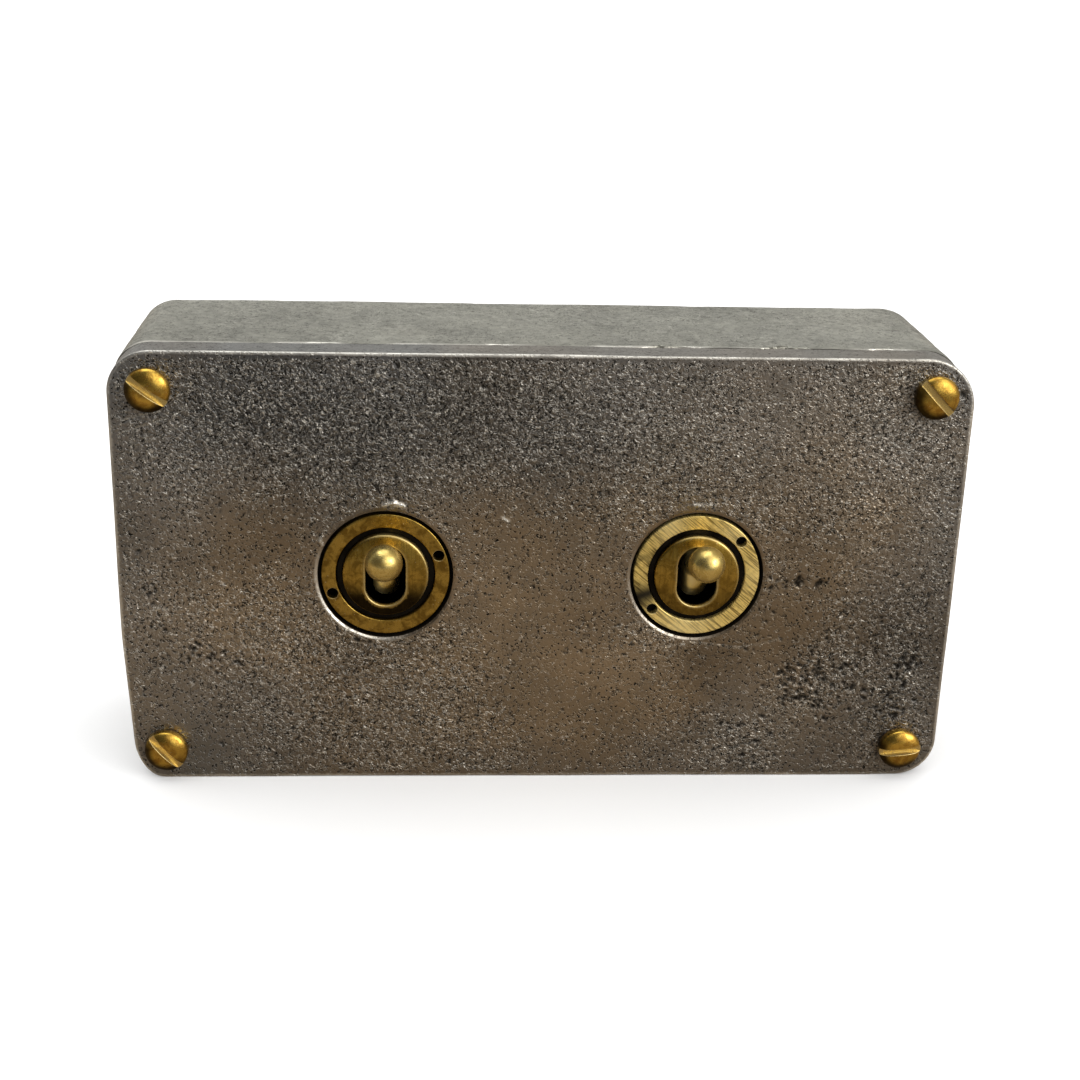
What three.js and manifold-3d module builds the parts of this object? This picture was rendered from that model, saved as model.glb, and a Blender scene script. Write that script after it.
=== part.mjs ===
// Two-gang toggle (dolly) wall switch in a surface-mounted cast box.
// Millimetres. +X is to the right seen from the front, +Y goes into the wall, +Z is up.
// The origin is the centre of the face that lies against the wall.
import * as THREE from "three";
import { mergeVertices } from "three/addons/utils/BufferGeometryUtils.js";
import Module from "manifold-3d";

const wasm = await Module();
wasm.setup();

// ---- Driving dimensions ----
const WIDTH = 146; // outside width of box and plate
const HEIGHT = 78.5;
const DEPTH = 40; // wall face to the front of the plate
const CORNER = 8; // corner radius seen from the front
const PLATE = 6.5; // thickness of the front plate
const SEAM = 0.25; // gap between the two rough castings
const WALL = 4; // side and rear walls of the box
const PITCH = 54.5; // between the two switches
const HOLE_R = 11.75; // recess in the plate round each ring nut
const SWING = 21; // degrees of the dolly either side of straight out
const ROCKER_SHARE = 0.4; // degrees the rocker turns for each degree of the dolly
const SCREW_X = 66.3; // plate screws, from the centre
const SCREW_Z = 33.2;
const ENTRY_Z = 19; // rear cable entries, from the centre
const FIXING_X = 54; // wall fixing slots, from the centre
const GAP = 0.05; // between faces that touch

// ---- Places along Y worked out from them ----
const PLATE_FRONT = -DEPTH;
const PLATE_BACK = PLATE_FRONT + PLATE;
const BOX_FRONT = PLATE_BACK + SEAM;
const PIVOT_Y = PLATE_FRONT + 6; // dolly pin
const HOUSING_FRONT = PLATE_BACK + 0.6;
const HOUSING_REAR = HOUSING_FRONT + 14.45;
const BASE_FRONT = HOUSING_REAR + GAP;
const BASE_REAR = BASE_FRONT + 7.8;
const ROCKER_Y = PIVOT_Y + 15; // the rocker's knife edge

// ---- Materials ----
const finish = (color, roughness, metalness) =>
  new THREE.MeshStandardMaterial({ color, roughness, metalness });
const castMetal = finish(0x77726b, 0.45, 0.9);
const antiqueBrass = finish(0x7d6634, 0.35, 1);
const brightBrass = finish(0xc49a3c, 0.25, 1);
const blackMetal = finish(0x14120f, 0.5, 0.6);
const moulding = finish(0x1c1a18, 0.6, 0);
const nylon = finish(0xd9d5c8, 0.55, 0);
const steel = finish(0xa9abad, 0.35, 1);
const copper = finish(0xb87a4b, 0.35, 1);
const rubber = finish(0x151515, 0.85, 0);

// ---- Solids: geometry in, manifold out, and back ----
function solid(geometry) {
  const bare = geometry.clone();
  bare.deleteAttribute("normal");
  bare.deleteAttribute("uv");
  const merged = mergeVertices(bare, 1e-4);
  return new wasm.Manifold(
    new wasm.Mesh({
      numProp: 3,
      vertProperties: merged.attributes.position.array,
      triVerts: new Uint32Array(merged.index.array),
    }),
  );
}

function geometryOf(manifold) {
  const { vertProperties, triVerts } = manifold.getMesh();
  const geometry = new THREE.BufferGeometry();
  geometry.setAttribute("position", new THREE.BufferAttribute(vertProperties, 3));
  geometry.setIndex(new THREE.BufferAttribute(triVerts, 1));
  geometry.computeVertexNormals();
  return geometry;
}

const cutAll = (body, cutters) => cutters.reduce((rest, cutter) => rest.subtract(cutter), body);
const joinAll = (pieces) => pieces.reduce((whole, piece) => whole.add(piece));

// ---- Shapes ----
function roundedRectangle(width, height, radius) {
  const [x, y] = [width / 2, height / 2];
  const shape = new THREE.Shape();
  shape.moveTo(-x + radius, -y);
  shape.absarc(x - radius, -y + radius, radius, -Math.PI / 2, 0);
  shape.absarc(x - radius, y - radius, radius, 0, Math.PI / 2);
  shape.absarc(-x + radius, y - radius, radius, Math.PI / 2, Math.PI);
  shape.absarc(-x + radius, -y + radius, radius, Math.PI, Math.PI * 1.5);
  return shape;
}

// A slot with round ends, its length along the shape's y, or along x when turned.
function slotShape(width, length, turned = false) {
  return turned
    ? roundedRectangle(length, width, width / 2 - 1e-3)
    : roundedRectangle(width, length, width / 2 - 1e-3);
}

// A shape drawn in (X, Z), extruded from yFront to yRear.
function alongY(shape, yFront, yRear, curveSegments = 6) {
  return new THREE.ExtrudeGeometry(shape, {
    depth: yRear - yFront,
    bevelEnabled: false,
    curveSegments,
  })
    .rotateX(Math.PI / 2)
    .translate(0, yRear, 0);
}

// The same with the edge rounded at one end, the other end left square.
function roundedAlongY(shape, yFront, yRear, round, roundFront) {
  const spare = 2 * round;
  const [from, to] = roundFront ? [yFront, yRear + spare] : [yFront - spare, yRear];
  const long = new THREE.ExtrudeGeometry(shape, {
    depth: to - from - 2 * round,
    bevelSize: round,
    bevelThickness: round,
    bevelOffset: -round,
    bevelSegments: 2,
    curveSegments: 6,
  })
    .rotateX(Math.PI / 2)
    .translate(0, to - round, 0);
  const middle = (yFront + yRear) / 2;
  const keep = new THREE.BoxGeometry(2 * WIDTH, yRear - yFront, 2 * WIDTH).translate(0, middle, 0);
  return solid(long).intersect(solid(keep));
}

// A shape drawn in (Y, Z), extruded along X and centred on it.
function alongX(shape, width, curveSegments = 10) {
  const axes = new THREE.Matrix4().makeBasis(
    new THREE.Vector3(0, 1, 0),
    new THREE.Vector3(0, 0, 1),
    new THREE.Vector3(1, 0, 0),
  );
  return new THREE.ExtrudeGeometry(shape, { depth: width, bevelEnabled: false, curveSegments })
    .applyMatrix4(axes)
    .translate(-width / 2, 0, 0);
}

// A profile of [radius, y] pairs turned about Y. It runs towards +Y on the outside.
const turned = (profile, segments = 32) =>
  new THREE.LatheGeometry(
    profile.map(([r, y]) => new THREE.Vector2(r, y)),
    segments,
  );

const pegY = (radius, yFront, yRear, x, z, segments = 16) =>
  new THREE.CylinderGeometry(radius, radius, yRear - yFront, segments).translate(
    x,
    (yFront + yRear) / 2,
    z,
  );

const pegX = (radius, length, y, z, segments = 16) =>
  new THREE.CylinderGeometry(radius, radius, length, segments)
    .rotateZ(Math.PI / 2)
    .translate(0, y, z);

const block = (width, yFront, yRear, height, x = 0, z = 0) =>
  new THREE.BoxGeometry(width, yRear - yFront, height).translate(x, (yFront + yRear) / 2, z);

// ---- The assembly ----
const assembly = new THREE.Group();

function place(parent, name, shape, material) {
  const geometry = shape instanceof THREE.BufferGeometry ? shape : geometryOf(shape);
  const mesh = new THREE.Mesh(geometry, material);
  mesh.name = name;
  parent.add(mesh);
  return mesh;
}

const corners = [
  ["top_left", -1, 1, -36],
  ["top_right", 1, 1, -46],
  ["bottom_left", -1, -1, -48],
  ["bottom_right", 1, -1, 6],
]; // name, side, level, and the angle at which that screw's slot came to rest

// ---- Back box: a hollow casting, open at the front ----
const ENTRY_R = 10;
const GROMMET_SEAT_R = 12;
const GROMMET_SEAT = 1.5;
const BOSS_R = 5.2;
const TAPPED_R = 2.15;
const TAPPED_DEPTH = 13;
const EARTH_PAD_R = 6;
const EARTH_PAD = 1.5;

function backBox() {
  const outline = roundedRectangle(WIDTH, HEIGHT, CORNER);
  const inside = roundedRectangle(WIDTH - 2 * WALL, HEIGHT - 2 * WALL, CORNER - WALL);
  const shell = roundedAlongY(outline, BOX_FRONT, 0, 1.5, false).subtract(
    solid(alongY(inside, BOX_FRONT - 1, -WALL)),
  );
  const bosses = corners.map(([, side, level]) =>
    solid(pegY(BOSS_R, BOX_FRONT, -WALL + 1, side * SCREW_X, level * SCREW_Z, 20)),
  );
  const pad = solid(pegY(EARTH_PAD_R, -WALL - EARTH_PAD, -WALL + 1, 0, 0, 20));
  const tapped = corners.map(([, side, level]) =>
    solid(
      pegY(TAPPED_R, BOX_FRONT - 1, BOX_FRONT + TAPPED_DEPTH, side * SCREW_X, level * SCREW_Z),
    ),
  );
  const entries = [1, -1].flatMap((level) => [
    solid(pegY(ENTRY_R, -WALL - 1, 1, 0, level * ENTRY_Z, 24)),
    solid(pegY(GROMMET_SEAT_R, -GROMMET_SEAT, 1, 0, level * ENTRY_Z, 24)),
  ]);
  const fixings = [-1, 1].map((side) =>
    solid(alongY(slotShape(5, 10, side > 0), -WALL - 1, 1)).translate([side * FIXING_X, 0, 0]),
  );
  return cutAll(joinAll([shell, ...bosses, pad]), [...tapped, ...entries, ...fixings]);
}
place(assembly, "back_box", backBox(), castMetal);

// ---- Cable grommets: an open rubber ring round each rear entry ----
const GROMMET_BORE_R = 7;

function grommet() {
  const [flange, neck] = [GROMMET_SEAT_R - 0.4, ENTRY_R - 0.2];
  const inner = -WALL - 1.4;
  return turned(
    [
      [GROMMET_BORE_R, inner],
      [flange - 0.8, inner],
      [flange - 0.8, -WALL - GAP],
      [neck, -WALL - GAP],
      [neck, -GROMMET_SEAT + GAP],
      [flange, -GROMMET_SEAT + GAP],
      [flange, -0.2],
      [GROMMET_BORE_R, -0.2],
      [GROMMET_BORE_R, inner],
    ],
    20,
  );
}
place(assembly, "cable_grommet_upper", grommet(), rubber).position.z = ENTRY_Z;
place(assembly, "cable_grommet_lower", grommet(), rubber).position.z = -ENTRY_Z;

// ---- Earth terminal: a brass block on its pad, with a clamping screw ----
const EARTH_REAR = -WALL - EARTH_PAD - GAP;
const EARTH_FRONT = EARTH_REAR - 8;

function clampingScrew(headRear, headR, shankR, shankLength) {
  const headFront = headRear - 1.6;
  const stem = [
    [0, headFront],
    [headR - 0.3, headFront],
    [headR, headFront + 0.3],
    [headR, headRear],
    [shankR, headRear],
    [shankR, headRear + shankLength],
    [0, headRear + shankLength],
  ];
  return solid(turned(stem, 14)).subtract(
    solid(block(0.8, headFront - 1, headFront + 0.8, 2 * headR + 1)),
  );
}
const earthBlock = cutAll(solid(block(8, EARTH_FRONT, EARTH_REAR, 8)), [
  solid(pegX(1.8, 10, EARTH_FRONT + 4.6, 0)),
  solid(pegY(1.75, EARTH_FRONT - 1, EARTH_FRONT + 4.6, 0, 0)),
]);
place(assembly, "earth_terminal", earthBlock, brightBrass);
place(assembly, "earth_screw", clampingScrew(EARTH_FRONT - GAP, 2.9, 1.6, 2.4), brightBrass);

// ---- Front plate: a thick casting with a stepped hole for each switch ----
const LEDGE_Y = PLATE_FRONT + 3.4; // the ring nut pulls against this step
const BUSH_HOLE_R = 8.75;
const PLATE_SCREW_HOLE_R = 2.3;

function frontPlate() {
  const outline = roundedRectangle(WIDTH, HEIGHT, CORNER);
  const switchHoles = [-1, 1].flatMap((side) => [
    solid(pegY(HOLE_R, PLATE_FRONT - 1, LEDGE_Y, (side * PITCH) / 2, 0, 48)),
    solid(pegY(BUSH_HOLE_R, PLATE_FRONT, PLATE_BACK + 1, (side * PITCH) / 2, 0, 36)),
  ]);
  const screwHoles = corners.map(([, side, level]) =>
    solid(
      pegY(PLATE_SCREW_HOLE_R, PLATE_FRONT - 1, PLATE_BACK + 1, side * SCREW_X, level * SCREW_Z),
    ),
  );
  return cutAll(roundedAlongY(outline, PLATE_FRONT, PLATE_BACK, 0.8, true), [
    ...switchHoles,
    ...screwHoles,
  ]);
}
place(assembly, "front_plate", frontPlate(), castMetal);

// ---- Plate screws: slotted brass, a low cylinder with a domed top ----
const HEAD_R = 3.7;
const HEAD_SIDE = 1.4;
const HEAD_DOME = 1.2;
const SCREW_SLOT = 1.2;
const SHANK_R = 1.95;
const SHANK_LENGTH = 16;

// Points on a dome of the given rise over a circle of radius r, from the crown outwards.
function dome(r, crownY, rise, steps) {
  const sphere = (r * r + rise * rise) / (2 * rise);
  return Array.from({ length: steps + 1 }, (_, i) => {
    const at = (r * i) / steps;
    return [at, crownY + sphere - Math.sqrt(sphere * sphere - at * at)];
  });
}

function plateScrew() {
  const crown = -GAP - HEAD_SIDE - HEAD_DOME;
  const profile = [
    ...dome(HEAD_R - 0.25, crown, HEAD_DOME - 0.25, 4),
    [HEAD_R, crown + HEAD_DOME],
    [HEAD_R, -GAP],
    [SHANK_R, -GAP],
    [SHANK_R, SHANK_LENGTH - 0.6],
    [SHANK_R - 0.6, SHANK_LENGTH],
    [0, SHANK_LENGTH],
  ];
  const slot = block(2 * HEAD_R + 2, crown - 1, crown + 1.5, SCREW_SLOT);
  return solid(turned(profile, 24)).subtract(solid(slot));
}
for (const [name, side, level, angle] of corners) {
  const screw = place(assembly, `plate_screw_${name}`, plateScrew(), brightBrass);
  screw.position.set(side * SCREW_X, PLATE_FRONT, level * SCREW_Z);
  screw.rotation.y = -THREE.MathUtils.degToRad(angle);
}

// ---- One switch, built at x = 0 and then moved to its place ----
const BUSH_R = 8.45;
const BUSH_FRONT = PLATE_FRONT + 1;
const BUSH_BORE_R = 6.4;
const SEAT_R = 7.65; // front of the bore, where the escutcheon is pressed in
const SEAT_REAR = PLATE_FRONT + 3.6;
const FLANGE_FRONT = HOUSING_FRONT + 1.8;
const FLANGE_REAR = FLANGE_FRONT + 1.4;
const MODULE_WIDTH = 24;
const MODULE_HEIGHT = 38;
const MODULE_WALL = 1.6;
const RIVET_X = 8.5;
const RIVET_Z = 15;
const RIVET_HOLE_R = 1.15;
const PIN_R = 0.95;

// Rivets stand at two opposite corners of the module.
const rivetPlaces = [
  [RIVET_X, RIVET_Z],
  [-RIVET_X, -RIVET_Z],
];
const rivetHoles = () =>
  rivetPlaces.map(([x, z]) => solid(pegY(RIVET_HOLE_R, PLATE_BACK, BASE_REAR + 1, x, z, 12)));

function threadedBush() {
  const tube = turned(
    [
      [BUSH_BORE_R, SEAT_REAR],
      [SEAT_R, SEAT_REAR],
      [SEAT_R, BUSH_FRONT],
      [BUSH_R, BUSH_FRONT],
      [BUSH_R, FLANGE_REAR],
      [BUSH_BORE_R, FLANGE_REAR],
      [BUSH_BORE_R, SEAT_REAR],
    ],
    32,
  );
  const inner = MODULE_WIDTH - 2 * MODULE_WALL - 0.4;
  const flange = solid(
    alongY(
      roundedRectangle(inner, MODULE_HEIGHT - 2 * MODULE_WALL - 0.4, 1),
      FLANGE_FRONT + GAP,
      FLANGE_REAR,
    ),
  ).subtract(solid(pegY(BUSH_R - 0.5, FLANGE_FRONT - 1, FLANGE_REAR + 1, 0, 0, 32)));
  const pinHole = solid(pegX(PIN_R + 0.1, 20, PIVOT_Y, 0));
  return cutAll(solid(tube).add(flange), [pinHole, ...rivetHoles()]);
}

const RING_R = 11.15;
const RING_BORE_R = 8.6;
const RING_FRONT = PLATE_FRONT + 0.4;
const SPANNER_HOLE_R = 0.95;

function ringNut(holeAngle) {
  const rear = LEDGE_Y - 0.25;
  const edge = 0.2;
  const profile = [
    [RING_BORE_R, rear],
    [RING_BORE_R, RING_FRONT + edge],
    [RING_BORE_R + edge, RING_FRONT],
    [RING_R - edge, RING_FRONT],
    [RING_R, RING_FRONT + edge],
    [RING_R, rear],
    [RING_BORE_R, rear],
  ];
  const middle = (RING_R + RING_BORE_R) / 2;
  const spannerHoles = [0, 180].map((turn) => {
    const angle = THREE.MathUtils.degToRad(holeAngle + turn);
    const [x, z] = [middle * Math.cos(angle), middle * Math.sin(angle)];
    return solid(pegY(SPANNER_HOLE_R, RING_FRONT - 1, RING_FRONT + 1.8, x, z, 14));
  });
  return cutAll(solid(turned(profile, 40)), spannerHoles);
}

// Internal-tooth washer between the plate and the housing.
function lockWasher() {
  const teeth = 12;
  const shape = new THREE.Shape().absarc(0, 0, 11.2, 0, 2 * Math.PI);
  const hole = new THREE.Path();
  for (let i = 0; i < 2 * teeth; i++) {
    const angle = (i * Math.PI) / teeth;
    const r = i % 2 ? 8.9 : 9.8;
    hole[i ? "lineTo" : "moveTo"](r * Math.cos(angle), r * Math.sin(angle));
  }
  hole.closePath();
  shape.holes.push(hole);
  return alongY(shape, PLATE_BACK + GAP, HOUSING_FRONT - GAP, 12);
}

const ESCUTCHEON_R = 7.5;
const ESCUTCHEON_WALL = 1;
const ESCUTCHEON_RISE = 0.9;
const DOLLY_SLOT = 7;
const DOLLY_SLOT_LENGTH = 11;

function escutcheon() {
  const crown = PLATE_FRONT - ESCUTCHEON_RISE;
  const skirtRear = SEAT_REAR - GAP;
  const inner = ESCUTCHEON_R - ESCUTCHEON_WALL;
  const outside = dome(ESCUTCHEON_R, crown, ESCUTCHEON_RISE, 6);
  const inside = dome(inner, crown + ESCUTCHEON_WALL, ESCUTCHEON_RISE - 0.2, 4);
  const profile = [
    ...outside,
    [ESCUTCHEON_R, skirtRear],
    [inner, skirtRear],
    ...inside.reverse(),
  ];
  const slot = alongY(slotShape(DOLLY_SLOT, DOLLY_SLOT_LENGTH), crown - 1, crown + 3);
  return solid(turned(profile, 32)).subtract(solid(slot));
}

function switchHousing() {
  const outer = roundedRectangle(MODULE_WIDTH, MODULE_HEIGHT, 2);
  const inner = roundedRectangle(
    MODULE_WIDTH - 2 * MODULE_WALL,
    MODULE_HEIGHT - 2 * MODULE_WALL,
    1,
  );
  const shell = solid(alongY(outer, HOUSING_FRONT, HOUSING_REAR, 3)).subtract(
    solid(alongY(inner, FLANGE_FRONT, HOUSING_REAR + 1, 3)),
  );
  const bushHole = solid(pegY(BUSH_R + 0.2, HOUSING_FRONT - 1, FLANGE_FRONT + 1, 0, 0, 32));
  const rivetSeats = rivetPlaces.map(([x, z]) =>
    solid(pegY(2.1, HOUSING_FRONT - 1, HOUSING_FRONT + 0.9, x, z, 14)),
  );
  return cutAll(shell, [bushHole, ...rivetSeats, ...rivetHoles()]);
}

// Terminals: common in the middle, one way above and one below.
const TERMINAL = 6;
const TERMINAL_Z = 8.6;
const TERMINAL_FRONT = BASE_FRONT + 1.3;
const TERMINAL_REAR = BASE_REAR - 0.4;
const CONTACT_Z = 8.2;
const CONTACT_R = 1.4;
const CONTACT_FACE = ROCKER_Y - 0.65;
const KNIFE_R = 0.83;
const WIRE_Y = TERMINAL_FRONT + 2.6;
const CLAMP_R = 1.5;

function terminalBase() {
  const outer = roundedRectangle(MODULE_WIDTH, MODULE_HEIGHT, 2);
  const pockets = [0, TERMINAL_Z, -TERMINAL_Z].map((z) => {
    const size = TERMINAL + 0.4;
    return solid(block(size, TERMINAL_FRONT - GAP, BASE_REAR + 1, size, 0, z));
  });
  const wireWays = [0, TERMINAL_Z, -TERMINAL_Z].map((z) =>
    solid(pegX(1.9, MODULE_WIDTH + 2, WIRE_Y, z)),
  );
  const contactHoles = [CONTACT_Z, -CONTACT_Z].map((z) =>
    solid(pegY(CONTACT_R + 0.2, BASE_FRONT - 1, TERMINAL_FRONT + 1, 0, z)),
  );
  const knifeSlot = solid(block(4.4, BASE_FRONT - 1, TERMINAL_FRONT + 1, 2 * KNIFE_R + 0.4));
  return cutAll(solid(alongY(outer, BASE_FRONT, BASE_REAR, 3)), [
    ...pockets,
    ...wireWays,
    ...contactHoles,
    knifeSlot,
    ...rivetHoles(),
  ]);
}

// A terminal block at height z, with its wire bore and clamping thread, joined to its contact.
function terminal(z, contact) {
  const body = solid(block(TERMINAL, TERMINAL_FRONT, TERMINAL_REAR, TERMINAL, 0, z)).add(contact);
  return cutAll(body, [
    solid(pegX(CLAMP_R, TERMINAL + 2, WIRE_Y, z)),
    solid(pegY(CLAMP_R + 0.15, WIRE_Y, TERMINAL_REAR + 1, 0, z)),
  ]);
}

const fixedContact = (z) => solid(pegY(CONTACT_R, CONTACT_FACE, TERMINAL_FRONT + 1, 0, z));

// The rounded edge on which the rocker tips.
const knifeEdge = () =>
  solid(block(4, ROCKER_Y, TERMINAL_FRONT + 1, 2 * KNIFE_R)).add(
    solid(pegX(KNIFE_R, 4, ROCKER_Y, 0)),
  );

function housingRivet() {
  const [front, rear] = [HOUSING_FRONT + GAP, BASE_REAR + GAP];
  return turned(
    [
      [0, front],
      [1.9, front],
      [1.9, front + 0.8],
      [1, front + 0.8],
      [1, rear],
      [1.9, rear],
      [1.6, rear + 0.6],
      [0, rear + 0.6],
    ],
    14,
  );
}

// Dolly, drawn about its pin with the ball towards -Y and the tail towards +Y.
const BALL_R = 3.15;
const BALL_AT = 16.7;
const HUB_R = 5.5;
const HUB_WIDTH = 5;
const TAIL_R = 2.4;
const TAIL_LENGTH = 10.8;
const BORE_R = 1.65;
const BORE_FROM = 3.5;

function dolly() {
  const neckAngle = Math.asin(2 / BALL_R); // where the ball runs into the neck
  const ball = Array.from({ length: 9 }, (_, i) => {
    const angle = ((Math.PI - neckAngle) * i) / 8;
    return [BALL_R * Math.sin(angle), -BALL_AT - BALL_R * Math.cos(angle)];
  });
  const neck = [
    [1.75, -12.5],
    [1.7, -10.5],
    [1.9, -8],
    [2.3, -5],
    [TAIL_R, 0],
  ];
  const lever = solid(
    turned([...ball, ...neck, [TAIL_R, TAIL_LENGTH], [0, TAIL_LENGTH]], 20),
  );
  const [edge, half] = [0.6, HUB_WIDTH / 2];
  const hub = turned(
    [
      [0, -half],
      [HUB_R - edge, -half],
      [HUB_R, edge - half],
      [HUB_R, half - edge],
      [HUB_R - edge, half],
      [0, half],
    ],
    24,
  ).rotateZ(Math.PI / 2);
  return cutAll(lever.add(solid(hub)), [
    solid(pegX(PIN_R + 0.1, HUB_WIDTH + 2, 0, 0)),
    solid(pegY(BORE_R, BORE_FROM, TAIL_LENGTH + 1, 0, 0)),
  ]);
}

const PLUNGER_R = 1.45;
const PLUNGER_FROM = 7.6;
const PLUNGER_TIP = 13;

function plunger() {
  const tip = Array.from({ length: 6 }, (_, i) => {
    const angle = (Math.PI / 2) * (i / 5);
    return [PLUNGER_R * Math.cos(angle), PLUNGER_TIP - PLUNGER_R + PLUNGER_R * Math.sin(angle)];
  });
  tip[5][0] = 0;
  return turned([[0, PLUNGER_FROM], [PLUNGER_R, PLUNGER_FROM], ...tip], 16);
}

class Helix extends THREE.Curve {
  constructor(radius, from, to, turns) {
    super();
    Object.assign(this, { radius, from, to, turns });
  }
  getPoint(t, target = new THREE.Vector3()) {
    const angle = 2 * Math.PI * this.turns * t;
    const y = this.from + (this.to - this.from) * t;
    return target.set(this.radius * Math.cos(angle), y, this.radius * Math.sin(angle));
  }
}

function detentSpring() {
  const wire = 0.2;
  const turns = 5;
  const path = new Helix(1.2, BORE_FROM + wire + 0.1, PLUNGER_FROM - wire - 0.1, turns);
  const section = new THREE.Shape();
  for (let i = 0; i < 6; i++) {
    const angle = (i * Math.PI) / 3;
    section[i ? "lineTo" : "moveTo"](wire * Math.cos(angle), wire * Math.sin(angle));
  }
  return new THREE.ExtrudeGeometry(section, { steps: 9 * turns, extrudePath: path });
}

// Rocker contact, drawn about its knife edge, level, with the cradle open towards -Y.
const CRADLE_R = 6.75;
const CRADLE_FRONT = -1.85;
const STRIP = 0.9;
const ARM_FRONT = -3.95;
const ARM_TIP = 9.2;
const BUTTON_Z = 8;

function rockerContact() {
  const centre = CRADLE_FRONT - CRADLE_R;
  const inner = Math.acos((ARM_FRONT - centre) / CRADLE_R);
  const outer = Math.acos((ARM_FRONT + STRIP - centre) / (CRADLE_R + STRIP));
  const strip = new THREE.Shape();
  strip.moveTo(ARM_FRONT, ARM_TIP);
  strip.absarc(centre, 0, CRADLE_R, inner, -inner, true);
  strip.lineTo(ARM_FRONT, -ARM_TIP);
  strip.lineTo(ARM_FRONT + STRIP, -ARM_TIP);
  strip.absarc(centre, 0, CRADLE_R + STRIP, -outer, outer, false);
  strip.lineTo(ARM_FRONT + STRIP, ARM_TIP);
  strip.closePath();
  const buttons = [BUTTON_Z, -BUTTON_Z].map((z) =>
    solid(pegY(CONTACT_R, ARM_FRONT + STRIP / 2, ARM_FRONT + STRIP + 0.85, 0, z)),
  );
  return joinAll([solid(alongX(strip, 5)), ...buttons]);
}

function buildSwitch(name, x, spannerAngle) {
  const module = new THREE.Group();
  module.position.x = x;
  assembly.add(module);
  const add = (piece, shape, material) => place(module, `${piece}_${name}`, shape, material);

  add("ring_nut", ringNut(spannerAngle), antiqueBrass);
  add("lock_washer", lockWasher(), steel);
  add("threaded_bush", threadedBush(), blackMetal);
  add("dolly_escutcheon", escutcheon(), antiqueBrass);
  add("switch_housing", switchHousing(), moulding);
  add("terminal_base", terminalBase(), moulding);
  add("terminal_common", terminal(0, knifeEdge()), brightBrass);
  add("terminal_upper", terminal(TERMINAL_Z, fixedContact(CONTACT_Z)), brightBrass);
  add("terminal_lower", terminal(-TERMINAL_Z, fixedContact(-CONTACT_Z)), brightBrass);
  for (const [way, z] of [["common", 0], ["upper", TERMINAL_Z], ["lower", -TERMINAL_Z]]) {
    const screw = add(`terminal_screw_${way}`, clampingScrew(0, 2.4, CLAMP_R, 1.6), steel);
    screw.rotation.z = Math.PI; // its head faces the rear
    screw.position.set(0, TERMINAL_REAR + GAP, z);
  }
  rivetPlaces.forEach(([rivetX, rivetZ], i) => {
    const rivet = add(`housing_rivet_${i ? "lower" : "upper"}`, housingRivet(), steel);
    rivet.position.set(rivetX, 0, rivetZ);
  });
  add("pivot_pin", pegX(PIN_R, 2 * BUSH_R - 0.5, PIVOT_Y, 0), steel);

  const lever = new THREE.Group();
  lever.position.y = PIVOT_Y;
  lever.rotation.x = -THREE.MathUtils.degToRad(SWING); // ball up, tail down
  module.add(lever);
  place(lever, `dolly_${name}`, dolly(), antiqueBrass);
  place(lever, `detent_spring_${name}`, detentSpring(), steel);
  place(lever, `plunger_${name}`, plunger(), nylon);

  const rocker = add("rocker_contact", rockerContact(), copper);
  rocker.position.y = ROCKER_Y;
  rocker.rotation.x = THREE.MathUtils.degToRad(SWING * ROCKER_SHARE);
}
buildSwitch("left", -PITCH / 2, 21);
buildSwitch("right", PITCH / 2, 40);

export default assembly;
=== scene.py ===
"""Two-gang toggle wall switch in a pitted cast box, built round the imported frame.

Shapes are drawn in millimetres, seen from the front as (x, z) with depth y, and become
metres when a piece is made.
"""

import math

import bmesh
import bpy
import numpy as np
from mathutils import Matrix, Vector
from mathutils.geometry import delaunay_2d_cdt


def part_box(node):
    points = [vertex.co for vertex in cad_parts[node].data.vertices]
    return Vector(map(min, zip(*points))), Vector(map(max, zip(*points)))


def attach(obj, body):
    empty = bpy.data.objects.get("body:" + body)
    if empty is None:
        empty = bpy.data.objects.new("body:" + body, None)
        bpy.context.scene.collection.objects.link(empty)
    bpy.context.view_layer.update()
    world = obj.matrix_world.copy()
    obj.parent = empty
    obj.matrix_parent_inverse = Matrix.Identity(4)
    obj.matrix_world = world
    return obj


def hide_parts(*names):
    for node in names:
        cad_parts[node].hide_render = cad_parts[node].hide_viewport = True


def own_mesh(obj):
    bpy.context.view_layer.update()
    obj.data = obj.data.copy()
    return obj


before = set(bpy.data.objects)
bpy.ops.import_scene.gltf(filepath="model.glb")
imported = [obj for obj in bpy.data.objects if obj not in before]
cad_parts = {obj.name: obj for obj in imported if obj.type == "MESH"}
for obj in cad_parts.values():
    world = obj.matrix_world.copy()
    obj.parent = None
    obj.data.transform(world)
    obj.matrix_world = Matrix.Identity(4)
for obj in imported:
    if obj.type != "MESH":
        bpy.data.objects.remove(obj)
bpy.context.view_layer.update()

MM = 0.001
SIDES = ("left", "right")
CORNERS = ("bottom_right", "top_right", "top_left", "bottom_left")
rng = np.random.default_rng(11)


# ---- Reading the frame ----
def box_mm(node):
    """Lowest and highest corner of a CAD node, in millimetres."""
    low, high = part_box(node)
    return np.array(low) / MM, np.array(high) / MM


PLATE_LOW, PLATE_HIGH = box_mm("front_plate")
BOX_LOW, BOX_HIGH = box_mm("back_box")
WIDTH, DEPTH, HEIGHT = PLATE_HIGH - PLATE_LOW
PLATE_FRONT, PLATE_BACK = PLATE_LOW[1], PLATE_HIGH[1]
NUT_R = 11.15
SWITCH_X = {side: box_mm(f"ring_nut_{side}")[0][0] + NUT_R for side in SIDES}
FINE = 0.26  # spacing of the points on the castings


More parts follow.
